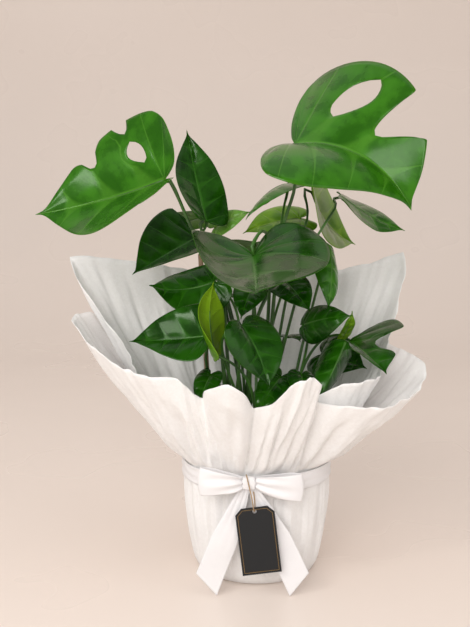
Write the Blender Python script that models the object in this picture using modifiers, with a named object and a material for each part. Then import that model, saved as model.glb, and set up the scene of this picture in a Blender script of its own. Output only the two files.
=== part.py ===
"""A swiss cheese plant in a nursery pot, in two gathered sheets of white wrap tied with a ribbon bow.

Metres, +Z up. The origin is the centre of the wrapped base, on the surface it stands on.
The front faces -Y. Azimuths are in degrees from the front (-Y), growing towards +X.
"""

from dataclasses import dataclass
from math import cos, pi, radians, sin, sqrt, tan

import bmesh
import bpy
from mathutils import Matrix, Vector

# Pot and soil
POT_TOP_RADIUS = 0.0935
POT_BASE_RADIUS = 0.074
POT_BOTTOM = 0.0024
POT_TOP = 0.160
POT_WALL = 0.0022
POT_LIP = 0.003
POT_LIP_HEIGHT = 0.012
POT_SIDES = 32
DRAIN_RADIUS = 0.006
DRAIN_CIRCLE = 0.045
DRAIN_COUNT = 6
SOIL_TOP = 0.146
SOIL_MOUND = 0.004
SOIL_SIDES = 24
HOLE_SIDES = 12
FIT_GAP = 0.0004

# Wrap
SHEET = 0.0008
SHEET_STEP = 0.0026
SHEET_RISE = 0.55
BAND_LOW = 0.134
BAND_HIGH = 0.159
CINCH_RADIUS = 0.1010
PLEATS = 17
PLEAT_DEPTH = 0.0022
FLARE_POWER = 0.8
WRAP_SIDE = ((0.0, 0.0), (0.080, 0.0), (0.0845, 0.006), (0.0925, 0.035), (0.0995, 0.085))
FLARE_ROWS = 5
RIM_PARTS = 8
CLOSE_STATIONS = 3.5
FAR_STATIONS = 12.0

# Ribbon, tag and stake
RIBBON = 0.0008
BAND_RADIUS = 0.1044
BAND_SIDES = 40
KNOT_CENTRE = (-0.012, -0.1104, 0.1515)
KNOT_SIZE = (0.020, 0.011, 0.019)
LOOP_REACH = (0.066, 0.071)
LOOP_DROP = (0.003, -0.006)
LOOP_HEIGHT = 0.037
LOOP_PINCH = 0.013
LOOP_FRONT = -0.1160
LOOP_BACK = -0.1090
LOOP_NEAR = 0.35
LOOP_FAR = 0.8
LOOP_ROWS = 14
TAIL_WIDTH = 0.036
TAIL_PINCH = 0.010
TAIL_CUT = 0.018
TAIL_FEET = ((-0.0705, -0.1150, 0.0075), (0.0580, -0.1150, 0.0075))
TAIL_ROWS = 8
TAG_WIDTH = 0.051
TAG_LENGTH = 0.090
TAG_CARD = 0.0009
TAG_CORNER = 0.0085
TAG_HOLE = 0.0055
TAG_HOLE_RADIUS = 0.0028
TAG_HOLE_SIDES = 16
TAG_LEAN = 7.0
TAG_TOP = (-0.0055, -0.1205, 0.1225)
STRING_RADIUS = 0.0008
STRING_ROWS = 22
STRING_SIDES = 6
STAKE_RADIUS = 0.0042
STAKE_SIDES = 8
STAKE_ROOM = 0.0014
STAKE_FOOT = (-0.062, 0.016, 0.112)
STAKE_TOP = (-0.078, 0.014, 0.440)

# Leaves and stalks
BLADE = 0.0008
SEAT_GAP = 0.0004
VEIN_SLANT = 0.5
LOBE_ROUNDING = 0.12
LOBE_DEPTH = 0.7
MARGIN_PARTS = 12
MARGIN_STEPS = 200
SAME = 1e-6
STALK_FLARE = 1.5
STALK_SIDES = 6
STALK_PARTS = 7
STALK_LIFT = 0.45
STALK_REACH = 0.35
STALK_END = 0.012
NOTCH_ROOM = 2.4
STEM_RADIUS = 0.0085
STEM_TOP_RADIUS = 0.0045
STEM_DEPTH = 0.035
STEM_RISE = 0.045
STEM_SIDES = 10

GREEN = (0.035, 0.19, 0.022, 1.0)
STEM_GREEN = (0.07, 0.24, 0.03, 1.0)
WHITE = (0.86, 0.85, 0.83, 1.0)
SATIN = (0.90, 0.89, 0.89, 1.0)
BLACK = (0.012, 0.013, 0.014, 1.0)
TWINE = (0.62, 0.40, 0.17, 1.0)
CANE = (0.40, 0.26, 0.16, 1.0)
POT_BROWN = (0.10, 0.045, 0.03, 1.0)
SOIL_BROWN = (0.045, 0.028, 0.018, 1.0)

# Half of a blade's outline from the notch round the lobe to the tip: along its length, across its width
HALF_OUTLINE = (
    (0.0, 0.0), (-0.15, 0.14), (-0.24, 0.42), (-0.17, 0.76), (0.05, 1.0),
    (0.34, 0.95), (0.62, 0.68), (0.83, 0.31), (0.94, 0.10), (1.0, 0.0),
)


@dataclass
class Cut:
    """A split or a hole between two side veins: its place along the margin, its two ends and its width."""

    along: float
    inner: float
    outer: float
    width: float


@dataclass
class Leaf:
    """One blade: where its stalk joins it, where its tip is, which way it faces and how it bends."""

    name: str
    shoot: str
    base: tuple
    tip: tuple
    face: tuple
    width: float = 0.9
    sides: tuple = (1.0, 1.0)
    lobe: float = 0.24
    bend: float = 30.0
    fold: tuple = (12.0, 12.0)
    fold_tip: tuple = None
    curl: tuple = (25.0, 25.0)
    back: float = 0.0
    twist: float = 0.0
    left: tuple = ()
    right: tuple = ()
    columns: int = 7
    rows: int = 3
    stalk: tuple = ()
    stalk_radius: float = 0.0016
    from_above: bool = False
    seat_gap: float = SEAT_GAP


SHOOTS = {
    "left": Vector((-0.034, -0.012, SOIL_TOP)),
    "front": Vector((-0.004, -0.040, SOIL_TOP)),
    "right": Vector((0.040, -0.016, SOIL_TOP)),
    "centre": Vector((0.006, 0.008, SOIL_TOP)),
    "back": Vector((-0.012, 0.050, SOIL_TOP)),
}

LEAVES = (
    Leaf("leaf_top_right", "centre",
         base=(0.050, -0.022, 0.588), tip=(0.193, -0.078, 0.507), face=(0.6, -0.3, 0.75),
         width=1.55, lobe=0.08, bend=70, fold=(40, 5), fold_tip=(88, -8), curl=(2, 38), twist=8,
         columns=12, rows=6, stalk_radius=0.0021, seat_gap=-0.0002,
         left=(Cut(0.57, 0.36, 0.86, 0.09), Cut(0.715, 0.36, 1.0, 0.12)),
         stalk=((0.030, 0.000, 0.44), (0.050, -0.016, 0.53))),
    Leaf("leaf_top_left", "left",
         base=(-0.122, -0.050, 0.541), tip=(-0.297, 0.000, 0.496), face=(-0.4, -0.8, 0.45),
         width=1.08, lobe=0.22, bend=-20, fold=(35, 23), fold_tip=(10, 18), curl=(-17, 19), back=-40,
         columns=12, rows=6, stalk_radius=0.0021,
         stalk=((-0.056, 0.004, 0.38), (-0.067, 0.004, 0.43), (-0.089, -0.036, 0.48)),
         right=(Cut(0.53, 0.33, 0.67, 0.08), Cut(0.53, 0.83, 1.0, 0.07), Cut(0.70, 0.66, 1.0, 0.07))),
    Leaf("leaf_upright", "left",
         base=(-0.069, -0.035, 0.487), tip=(-0.096, 0.024, 0.607), face=(0.75, -0.5, 0.4),
         width=0.58, lobe=0.04, bend=-4, fold=(20, 20), curl=(10, 15), twist=-60, columns=8, rows=3,
         seat_gap=0.0007,
         stalk=((-0.046, 0.004, 0.38), (-0.058, -0.004, 0.43))),
    Leaf("leaf_left_high", "back",
         base=(-0.087, 0.069, 0.460), tip=(-0.171, 0.018, 0.413), face=(-0.15, -0.5, 0.85),
         width=1.13, lobe=0.10, bend=4, fold=(20, 30), curl=(5, -5), back=-14, columns=7, rows=3,
         seat_gap=0.0002,
         stalk=((-0.035, 0.050, 0.34), (-0.066, 0.074, 0.42))),
    Leaf("leaf_heart", "centre",
         base=(-0.006, -0.074, 0.443), tip=(-0.007, -0.225, 0.410), face=(-0.17, -0.2, 0.97),
         width=1.25, lobe=0.31, bend=-28, fold=(23, -6), curl=(40, -85), back=-12, twist=-14, columns=10,
         rows=4, stalk_radius=0.002, from_above=True,
         stalk=((0.018, 0.020, 0.38), (0.020, 0.000, 0.462), (0.004, -0.047, 0.482))),
    Leaf("leaf_low_heart", "front",
         base=(-0.021, -0.103, 0.356), tip=(0.012, -0.127, 0.282), face=(0.85, -0.25, 0.45),
         width=1.09, lobe=0.10, bend=24, fold=(26, 11), curl=(5, 50), back=10, twist=38, columns=8,
         rows=3),
    Leaf("leaf_left_mid", "left",
         base=(-0.0595, -0.039, 0.4055), tip=(-0.140, -0.061, 0.4025), face=(0.15, -0.63, 0.76),
         width=0.94, lobe=0.24, bend=-54, fold=(-12, 4), curl=(32, 20), columns=8, rows=3),
    Leaf("leaf_left_low", "left",
         base=(-0.068, -0.083, 0.3395), tip=(-0.1645, -0.081, 0.332), face=(-0.04, -0.96, 0.27),
         width=0.89, lobe=0.10, bend=-48, fold=(49, 9), curl=(16, 22), twist=5, columns=8, rows=3,
         seat_gap=0.0,
         stalk=((-0.058, -0.030, 0.25), (-0.069, -0.056, 0.305))),
    Leaf("leaf_folded", "front",
         base=(-0.0545, -0.096, 0.313), tip=(-0.058, -0.089, 0.408), face=(-0.97, 0.23, 0.0),
         width=0.83, lobe=0.04, bend=32, fold=(12, 8), curl=(16, 65), twist=-54, columns=7, rows=3,
         seat_gap=0.0006),
    Leaf("leaf_right_mid", "right",
         base=(0.061, -0.048, 0.349), tip=(0.119, -0.084, 0.366), face=(-0.56, -0.67, 0.49),
         width=0.84, lobe=0.22, bend=37, fold=(-9, -11), curl=(21, 52), back=33, columns=8, rows=3),
    Leaf("leaf_right_young", "right",
         base=(0.1175, -0.013, 0.326), tip=(0.1295, -0.023, 0.3635), face=(0.63, -0.7, -0.3),
         width=0.57, lobe=0.04, bend=42, fold=(9, 12), curl=(15, 20), twist=-13, columns=5, rows=2,
         seat_gap=0.0007),
    Leaf("leaf_right_split", "right",
         base=(0.1245, -0.030, 0.324), tip=(0.160, -0.117, 0.298), face=(-0.1, -0.33, 0.94),
         width=1.49, sides=(1.0, 0.22), lobe=0.04, bend=19, fold=(15, 20), curl=(8, 0), back=15,
         columns=9, rows=4,
         left=(Cut(0.66, 0.35, 1.0, 0.26),)),
    Leaf("leaf_right_low", "right",
         base=(0.1145, -0.080, 0.332), tip=(0.077, -0.114, 0.262), face=(0.26, -0.87, 0.42),
         width=0.86, lobe=0.04, bend=19, fold=(-40, -36), curl=(26, 55), back=10, twist=-10, columns=8,
         rows=3,
         stalk=((0.070, -0.038, 0.26), (0.100, -0.066, 0.300))),
    Leaf("leaf_right_dark", "right",
         base=(0.0975, 0.036, 0.294), tip=(0.148, -0.028, 0.287), face=(-0.3, -0.7, 0.6),
         width=0.9, bend=20, columns=7, rows=3),
    Leaf("leaf_behind_left", "centre",
         base=(0.0425, 0.040, 0.538), tip=(-0.014, -0.022, 0.491), face=(-0.23, -0.45, 0.86),
         width=0.77, lobe=0.06, bend=45, fold=(12, -35), curl=(20, 20), back=24, twist=11, columns=7,
         rows=3, seat_gap=0.0002,
         stalk=((0.028, 0.016, 0.42), (0.038, 0.034, 0.500))),
    Leaf("leaf_behind_pale", "centre",
         base=(0.079, 0.050, 0.529), tip=(0.1485, 0.118, 0.450), face=(0.8, -0.13, 0.58),
         width=1.09, lobe=0.24, bend=-40, fold=(30, 0), curl=(10, 22), columns=8, rows=3,
         seat_gap=0.0007,
         stalk=((0.050, 0.020, 0.42), (0.072, 0.034, 0.490))),
    Leaf("leaf_behind_right", "centre",
         base=(0.118, 0.033, 0.522), tip=(0.207, 0.036, 0.473), face=(0.47, -0.28, 0.84),
         width=0.89, lobe=0.04, bend=-19, fold=(-5, -5), curl=(15, -25), back=15, twist=30, columns=7,
         rows=3, seat_gap=0.0008,
         stalk=((0.068, -0.002, 0.43), (0.086, -0.010, 0.472), (0.108, 0.006, 0.505))),
    Leaf("leaf_hanging", "right",
         base=(0.100, -0.002, 0.453), tip=(0.094, -0.047, 0.372), face=(0.5, -0.77, 0.4),
         width=0.65, lobe=0.04, bend=36, fold=(-22, 3), curl=(50, 22), back=16, twist=16, columns=7,
         rows=3,
         stalk=((0.060, -0.008, 0.30), (0.088, 0.003, 0.41))),
    Leaf("leaf_inner_left", "front",
         base=(-0.007, -0.034, 0.398), tip=(-0.022, -0.074, 0.362), face=(-0.1, -0.8, 0.6),
         width=0.8, columns=6, rows=2),
    Leaf("leaf_inner_right", "centre",
         base=(0.038, -0.022, 0.405), tip=(0.068, -0.066, 0.370), face=(0.1, -0.8, 0.6),
         width=0.85, columns=6, rows=2),
    Leaf("leaf_foot_left", "front",
         base=(-0.0625, -0.066, 0.284), tip=(-0.078, -0.096, 0.250), face=(-0.2, -0.75, 0.6),
         width=0.75, columns=6, rows=2),
    Leaf("leaf_foot_centre", "front",
         base=(0.030, -0.070, 0.282), tip=(-0.003, -0.108, 0.243), face=(-0.2, -0.75, 0.6),
         width=0.7, columns=6, rows=2),
    Leaf("leaf_small_top", "left",
         base=(-0.056, 0.010, 0.478), tip=(-0.010, 0.006, 0.498), face=(0.0, -0.7, 0.7),
         width=0.75, columns=6, rows=2),
    Leaf("leaf_back_high", "back",
         base=(0.065, 0.090, 0.488), tip=(-0.016, 0.070, 0.468), face=(-0.2, -0.6, 0.75),
         width=0.85, columns=7, rows=3, seat_gap=0.0007,
         stalk=((-0.002, 0.052, 0.33), (0.040, 0.060, 0.42))),
    Leaf("leaf_back_left", "back",
         base=(-0.075, 0.125, 0.490), tip=(-0.150, 0.190, 0.450), face=(-0.2, 0.4, 0.9),
         width=1.0, bend=35, columns=7, rows=3,
         stalk=((-0.048, 0.056, 0.38), (-0.079, 0.090, 0.45))),
    Leaf("leaf_back_centre", "back",
         base=(0.000, 0.095, 0.452), tip=(-0.005, 0.200, 0.405), face=(0.0, 0.5, 0.85),
         width=1.15, lobe=0.28, bend=40, columns=8, rows=3, seat_gap=0.0010),
    Leaf("leaf_back_right", "back",
         base=(0.060, 0.095, 0.420), tip=(0.105, 0.165, 0.415), face=(0.1, 0.3, 0.95),
         width=1.0, bend=35, columns=7, rows=3, seat_gap=0.0009,
         stalk=((-0.008, 0.064, 0.30), (0.022, 0.084, 0.38))),
    Leaf("leaf_back_low", "back",
         base=(-0.040, 0.092, 0.372), tip=(-0.078, 0.142, 0.362), face=(-0.2, 0.3, 0.95),
         width=1.0, bend=35, columns=7, rows=3),
    Leaf("leaf_back_foot", "back",
         base=(0.040, 0.050, 0.318), tip=(0.068, 0.098, 0.304), face=(0.1, 0.4, 0.9),
         width=0.95, bend=35, columns=6, rows=3),
    Leaf("leaf_inner_low", "front",
         base=(0.058, -0.070, 0.285), tip=(0.056, -0.102, 0.255), face=(0.2, -0.6, 0.8),
         width=0.9, columns=6, rows=3),
)


def at(azimuth, radius, height):
    """The point at an azimuth in degrees, a radius and a height."""
    return Vector((radius * sin(radians(azimuth)), -radius * cos(radians(azimuth)), height))


def smooth_through(points, count):
    """Points along one smooth curve through the points given, count to each span."""
    last = len(points) - 1
    curve = []
    for i in range(last):
        before, start, end, after = (points[min(max(i + k - 1, 0), last)] for k in range(4))
        for j in range(count):
            u = j / count
            curve.append(0.5 * (
                2 * start + (end - before) * u + (2 * before - 5 * start + 4 * end - after) * u * u
                + (3 * start - before - 3 * end + after) * u ** 3
            ))
    curve.append(points[-1].copy())
    return curve


def arc(start, turn, distance):
    """How far ahead and up a bend goes that starts at an angle and falls by turn for each unit."""
    if abs(turn) < SAME:
        return distance * cos(start), distance * sin(start)
    end = start - turn * distance
    return (sin(start) - sin(end)) / turn, (cos(end) - cos(start)) / turn


def spaced(points, count):
    """Points evenly spaced along a line through the points given."""
    reach = [0.0]
    for start, end in zip(points, points[1:]):
        reach.append(reach[-1] + (end - start).length)
    even, i = [], 0
    for step in range(count + 1):
        wanted = reach[-1] * step / count
        while i < len(points) - 2 and reach[i + 1] < wanted:
            i += 1
        share = (wanted - reach[i]) / max(reach[i + 1] - reach[i], 1e-9)
        even.append(points[i].lerp(points[i + 1], min(max(share, 0.0), 1.0)))
    return even


class Blade:
    """The surface of one leaf: a flat outline with its cuts, over a bent midrib with two folded halves."""

    def __init__(self, leaf):
        self.leaf = leaf
        self.base = Vector(leaf.base)
        chord = Vector(leaf.tip) - self.base
        self.ahead = chord.normalized()
        face = Vector(leaf.face)
        self.up = (face - self.ahead * face.dot(self.ahead)).normalized()
        self.across = self.ahead.cross(self.up)
        self.bend = radians(leaf.bend)
        self.length = chord.length * (self.bend / 2) / sin(self.bend / 2)
        self.half_width = leaf.width * self.length / 2
        outline = [
            Vector((a * self.length * (leaf.lobe / 0.24 if a < 0 else 1.0), b * self.half_width, 0.0))
            for a, b in HALF_OUTLINE
        ]
        self.margin = spaced(smooth_through(outline, MARGIN_PARTS), MARGIN_STEPS)
        self.cuts = {-1: leaf.left, 1: leaf.right}

    def reach_of(self, side, cut):
        """How far along the margin a cut still pushes the blade aside: half way to the next cut or end."""
        others = [c.along for c in self.cuts[side] if abs(c.along - cut.along) > SAME] + [0.0, 1.0]
        return 0.5 * min(abs(cut.along - other) for other in others)

    def opened(self, side, along, out, lean):
        """Where a point goes once the cuts have opened. Lean tells a cut's two lips apart."""
        moved, kept = along, out
        for cut in self.cuts[side]:
            reach = self.reach_of(side, cut)
            share = 1 - abs(along - cut.along) / reach
            if share <= 0:
                continue
            way = lean if abs(along - cut.along) < SAME else (1 if along > cut.along else -1)
            if cut.inner < out < cut.outer or (cut.outer >= 1 and out > cut.inner):
                depth = (out - cut.inner) / (cut.outer - cut.inner)
                swell = sqrt(depth) if cut.outer >= 1 else sin(pi * depth) ** 0.7
                moved += way * share * swell * cut.width / 2
            if cut.outer >= 1 and cut.inner < LOBE_DEPTH:
                kept -= LOBE_ROUNDING * out ** 4 * share ** 2
        return moved, kept

    def flat(self, side, along, out):
        """The flat place (ahead, across) of a point by its shares of the margin and of the way out."""
        place = min(max(along, 0.0), 1.0) * MARGIN_STEPS
        i = min(int(place), MARGIN_STEPS - 1)
        edge = self.margin[i].lerp(self.margin[i + 1], place - i)
        start = max(0.0, edge.x - VEIN_SLANT * edge.y)
        return start + (edge.x - start) * out, edge.y * out * self.leaf.sides[0 if side < 0 else 1]

    def frame(self, ahead):
        """The midrib's point at a distance from the base, with its own ahead, across and up directions."""
        half = self.bend / 2
        share = ahead / self.length
        turn = self.bend if share >= 0 else radians(self.leaf.back) / self.leaf.lobe
        forward, rise = arc(half, turn, share)
        angle = half - turn * share
        point = self.base + (self.ahead * forward + self.up * rise) * self.length
        along = self.ahead * cos(angle) + self.up * sin(angle)
        up = self.up * cos(angle) - self.ahead * sin(angle)
        roll = Matrix.Rotation(radians(self.leaf.twist) * max(share, 0.0), 3, along)
        return point, along, roll @ self.across, roll @ up

    def place(self, side, along, out):
        """The point in space for a share along one half's margin and a share of the way out."""
        leaf = self.leaf
        ahead, aside = self.flat(side, along, out)
        point, _, across, up = self.frame(ahead)
        index = 0 if side < 0 else 1
        share = min(max(ahead / self.length, 0.0), 1.0)
        tip = (leaf.fold_tip or leaf.fold)[index]
        fold = radians(leaf.fold[index] + (tip - leaf.fold[index]) * share)
        sideways, rise = arc(fold, radians(leaf.curl[index]) / self.half_width, aside)
        return point + across * side * sideways + up * rise

    def stations(self, count):
        """Shares along the margin from beside the notch to the tip, with one at each cut of either half."""
        marks = [0.0] + sorted({cut.along for cut in self.leaf.left + self.leaf.right}) + [1.0]
        shares = []
        for start, end in zip(marks, marks[1:]):
            parts = max(1, round((end - start) * count))
            shares += [start + (end - start) * (i + 1) / parts for i in range(parts)]
        return shares

    def surface(self, columns, rows):
        """The upper face as an open mesh, its two halves joined along the midrib."""
        shares = self.stations(columns)
        across = [share - 1 for share in shares] + [1 - share for share in reversed(shares)][1:]
        mesh = bmesh.new()
        bmesh.ops.create_grid(mesh, x_segments=len(across) - 1, y_segments=rows, size=1.0)
        for vertex in mesh.verts:
            column = round((vertex.co.x + 1) / 2 * (len(across) - 1))
            vertex.co = (across[column], round((vertex.co.y + 1) / 2 * rows) / rows, 0.0)
        for side in (-1, 1):
            for cut in self.cuts[side]:
                split_column(mesh, side * (1 - cut.along), cut.inner, cut.outer, 0.5 / rows)
        placed = {}
        for vertex in mesh.verts:
            x, out = vertex.co.x, vertex.co.y
            side = -1 if x < 0 else 1
            middles = [face.calc_center_median().x for face in vertex.link_faces]
            lean = 0
            if min(middles) > x or max(middles) < x:
                lean = -side if min(middles) > x else side
            along, kept = self.opened(side, 1 - abs(x), out, lean)
            placed[vertex] = self.place(side, along, kept)
        for vertex, point in placed.items():
            vertex.co = point
        bmesh.ops.remove_doubles(mesh, verts=mesh.verts, dist=1e-5)
        bmesh.ops.recalc_face_normals(mesh, faces=mesh.faces)
        mesh.normal_update()
        if sum(face.normal.dot(self.up) * face.calc_area() for face in mesh.faces) < 0:
            bmesh.ops.reverse_faces(mesh, faces=mesh.faces)
        bmesh.ops.triangulate(mesh, faces=mesh.faces)
        return mesh

    def seat(self):
        """Where the stalk's end meets the underside, and the direction in which it arrives."""
        leaf = self.leaf
        if leaf.from_above:
            point, ahead, _, up = self.frame(0.0)
            return point - ahead * NOTCH_ROOM * leaf.stalk_radius, (ahead - 1.5 * up).normalized()
        point, ahead, _, up = self.frame(2 * leaf.stalk_radius)
        arrival = (up + 0.7 * ahead).normalized()
        droop = tan(radians(max(0.0, -min(leaf.fold)))) * leaf.stalk_radius
        tilt = sqrt(1 - arrival.dot(up) ** 2) * leaf.stalk_radius
        return point - up * (BLADE + leaf.seat_gap + tilt + droop), arrival


def split_column(mesh, x, inner, outer, tolerance):
    """Cuts a grid open along one column, between two heights."""
    low, high = inner - tolerance, outer + tolerance
    edges = [
        edge for edge in mesh.edges
        if all(abs(corner.co.x - x) < SAME and low < corner.co.y < high for corner in edge.verts)
    ]
    bmesh.ops.split_edges(mesh, edges=edges)


def material(name, colour, roughness, metallic=0.0):
    """A plain finish."""
    made = bpy.data.materials.new(name)
    made.use_nodes = True
    shader = made.node_tree.nodes["Principled BSDF"]
    shader.inputs["Base Color"].default_value = colour
    shader.inputs["Roughness"].default_value = roughness
    shader.inputs["Metallic"].default_value = metallic
    made.diffuse_color = colour
    return made


def object_of(name, data, finish, collection):
    """A named object with one finish, in a collection."""
    made = bpy.data.objects.new(name, data)
    data.materials.clear()
    data.materials.append(finish)
    collection.objects.link(made)
    return made


def object_from(name, mesh, finish, collection):
    """The object made from a bmesh."""
    data = bpy.data.meshes.new(name)
    mesh.to_mesh(data)
    mesh.free()
    return object_of(name, data, finish, collection)


def solidify(target, thickness, offset=-1.0):
    """Gives an open surface its thickness."""
    shell = target.modifiers.new("thickness", "SOLIDIFY")
    shell.thickness = thickness
    shell.offset = offset
    shell.use_even_offset = False


def as_mesh(source):
    """The object's evaluated shape as a plain mesh, with its doubled points made one."""
    bpy.context.view_layer.update()
    graph = bpy.context.evaluated_depsgraph_get()
    data = bpy.data.meshes.new_from_object(source.evaluated_get(graph))
    mesh = bmesh.new()
    mesh.from_mesh(data)
    mesh.transform(source.matrix_world)
    bmesh.ops.remove_doubles(mesh, verts=mesh.verts, dist=1e-6)
    mesh.to_mesh(data)
    mesh.free()
    return data


def tube(name, points, radii, sides, finish, collection):
    """A round bar along the points, as a mesh."""
    curve = bpy.data.curves.new(name, "CURVE")
    curve.dimensions = "3D"
    curve.bevel_depth = 1.0
    curve.bevel_resolution = sides // 2 - 2
    curve.use_fill_caps = True
    spline = curve.splines.new("POLY")
    spline.points.add(len(points) - 1)
    for place, point, radius in zip(spline.points, points, radii):
        place.co = (*point, 1.0)
        place.radius = radius
    bar = object_of(name + "_line", curve, finish, collection)
    made = object_of(name, as_mesh(bar), finish, collection)
    bpy.data.objects.remove(bar)
    return made


def boolean(target, others, operation):
    """Joins the others to the target, or cuts them from it, and takes them out of the scene."""
    tools = bpy.data.collections.new("tools")
    bpy.context.scene.collection.children.link(tools)
    for other in others:
        for holder in other.users_collection:
            holder.objects.unlink(other)
        tools.objects.link(other)
    step = target.modifiers.new(operation.lower(), "BOOLEAN")
    step.operation = operation
    step.operand_type = "COLLECTION"
    step.collection = tools
    data = as_mesh(target)
    target.modifiers.clear()
    target.data = data
    for other in list(tools.objects):
        bpy.data.objects.remove(other)
    bpy.data.collections.remove(tools)


def turned(name, profile, finish, collection, sides=POT_SIDES, closed=False):
    """A profile of (radius, height) points, top to bottom on its outer side, turned about the Z axis."""
    mesh = bmesh.new()
    corners = [mesh.verts.new((radius, 0.0, height)) for radius, height in profile]
    for start, end in zip(corners, corners[1:]):
        mesh.edges.new((start, end))
    if closed:
        mesh.edges.new((corners[-1], corners[0]))
    made = object_from(name, mesh, finish, collection)
    screw = made.modifiers.new("turn", "SCREW")
    screw.use_smooth_shade = False
    screw.steps = screw.render_steps = sides
    screw.use_merge_vertices = True
    screw.merge_threshold = 0.0001
    screw.use_normal_calculate = not closed
    return made


def cylinder(name, centre, radius, depth, sides, finish, collection, top_radius=None):
    """A round bar standing on a point."""
    mesh = bmesh.new()
    top = radius if top_radius is None else top_radius
    bmesh.ops.create_cone(mesh, cap_ends=True, segments=sides, radius1=radius, radius2=top, depth=depth)
    bmesh.ops.translate(mesh, vec=Vector(centre) + Vector((0, 0, depth / 2)), verts=mesh.verts)
    return object_from(name, mesh, finish, collection)


def make_pot(collection, finish):
    """The nursery pot: a tapered cup with a rolled lip and drain holes."""
    inner_base = POT_BASE_RADIUS - POT_WALL
    profile = [
        (0.0, POT_BOTTOM + POT_WALL), (inner_base, POT_BOTTOM + POT_WALL),
        (POT_TOP_RADIUS - POT_LIP - POT_WALL, POT_TOP),
        (POT_TOP_RADIUS, POT_TOP), (POT_TOP_RADIUS, POT_TOP - POT_LIP_HEIGHT),
        (POT_TOP_RADIUS - POT_LIP, POT_TOP - POT_LIP_HEIGHT),
        (POT_BASE_RADIUS, POT_BOTTOM), (0.0, POT_BOTTOM),
    ]
    pot = turned("pot", profile, finish, collection)
    drains = []
    for i in range(DRAIN_COUNT):
        centre = at(i * 360 / DRAIN_COUNT, DRAIN_CIRCLE, POT_BOTTOM - POT_WALL)
        drains.append(cylinder(f"drain_{i}", centre, DRAIN_RADIUS, 3 * POT_WALL, HOLE_SIDES, finish, collection))
    boolean(pot, drains, "DIFFERENCE")


def pot_inside(height):
    """The pot's inner radius at a height."""
    low, high = POT_BASE_RADIUS - POT_WALL, POT_TOP_RADIUS - POT_LIP - POT_WALL
    return low + (high - low) * (height - POT_BOTTOM - POT_WALL) / (POT_TOP - POT_BOTTOM - POT_WALL)


def make_soil(collection, finish, holes):
    """The soil, filling the pot to below its lip, with a plain hole for each stem and for the stake."""
    low = POT_BOTTOM + POT_WALL + FIT_GAP
    profile = [
        (0.0, SOIL_TOP + SOIL_MOUND), (0.5 * POT_TOP_RADIUS, SOIL_TOP + 0.6 * SOIL_MOUND),
        (pot_inside(SOIL_TOP) - 2 * FIT_GAP, SOIL_TOP), (pot_inside(low) - 2 * FIT_GAP, low), (0.0, low),
    ]
    soil = turned("soil", profile, finish, collection, sides=SOIL_SIDES)
    cutters = []
    for i, (foot, radius) in enumerate(holes):
        centre = (foot.x, foot.y, SOIL_TOP - STEM_DEPTH - FIT_GAP)
        wide = radius + FIT_GAP
        cutters.append(cylinder(f"hole_{i}", centre, wide, 2 * STEM_DEPTH, HOLE_SIDES, finish, collection))
    boolean(soil, cutters, "DIFFERENCE")


def stalk_line(leaf, blade, root):
    """The line of a leaf's stalk, from inside its stem to the blade's underside."""
    seat, arrival = blade.seat()
    span = (seat - root).length
    if leaf.stalk:
        knots = [root] + [Vector(point) for point in leaf.stalk] + [seat - arrival * STALK_END, seat]
        return spaced(smooth_through(knots, 8), STALK_PARTS)
    lift = root + Vector((0, 0, STALK_LIFT * span))
    reach = seat - arrival * STALK_REACH * span
    line = []
    for i in range(STALK_PARTS + 1):
        u = i / STALK_PARTS
        v = 1 - u
        line.append(root * v ** 3 + lift * 3 * u * v ** 2 + reach * 3 * u ** 2 * v + seat * u ** 3)
    return line


def make_shoot(name, foot, leaves, collection, finish):
    """One stem with the stalks that grow from it, as one body."""
    low = foot - Vector((0, 0, STEM_DEPTH))
    tall = STEM_DEPTH + STEM_RISE
    stem = cylinder(f"stems_{name}", low, STEM_RADIUS, tall, STEM_SIDES, finish, collection, STEM_TOP_RADIUS)
    stalks = []
    for i, leaf in enumerate(leaves):
        root = foot + at(i * 360 / len(leaves), 0.0025, 0.004 + 0.035 * i / len(leaves))
        line = stalk_line(leaf, Blade(leaf), root)
        thin = leaf.stalk_radius
        radii = [thin * (STALK_FLARE + (1 - STALK_FLARE) * j / (len(line) - 1)) for j in range(len(line))]
        stalks.append(tube(f"stalk_{leaf.name}", line, radii, STALK_SIDES, finish, collection))
    boolean(stem, stalks, "UNION")


def make_leaf(leaf, collection, finish):
    """One blade."""
    blade = object_from(leaf.name, Blade(leaf).surface(leaf.columns, leaf.rows), finish, collection)
    solidify(blade, BLADE)
    return blade


# Rim of each sheet, from the left corner past the front: azimuth, radius, height, azimuth at the ribbon
OUTER_RIM = (
    (-86, 0.254, 0.348, -86), (-74, 0.228, 0.322, -76), (-60, 0.205, 0.303, -64), (-47, 0.190, 0.296, -52),
    (-38, 0.165, 0.292, -42), (-33, 0.135, 0.262, -30), (-24, 0.165, 0.282, -22), (-12, 0.188, 0.296, -15),
    (-6, 0.175, 0.283, -12), (-3, 0.140, 0.257, -9), (5, 0.165, 0.268, -4), (12, 0.180, 0.292, 2),
    (19, 0.187, 0.304, 12), (26, 0.175, 0.290, 24), (30, 0.148, 0.262, 30), (36, 0.180, 0.262, 35),
    (47, 0.205, 0.258, 45), (62, 0.222, 0.262, 60), (75, 0.232, 0.276, 72), (84, 0.232, 0.292, 82),
    (93, 0.222, 0.298, 92), (105, 0.212, 0.302, 104), (122, 0.208, 0.310, 122), (140, 0.190, 0.300, 140),
    (160, 0.180, 0.312, 160), (180, 0.190, 0.300, 180), (200, 0.180, 0.315, 200), (220, 0.205, 0.310, 220),
    (238, 0.236, 0.330, 238), (252, 0.256, 0.350, 252), (262, 0.262, 0.352, 262),
)
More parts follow.
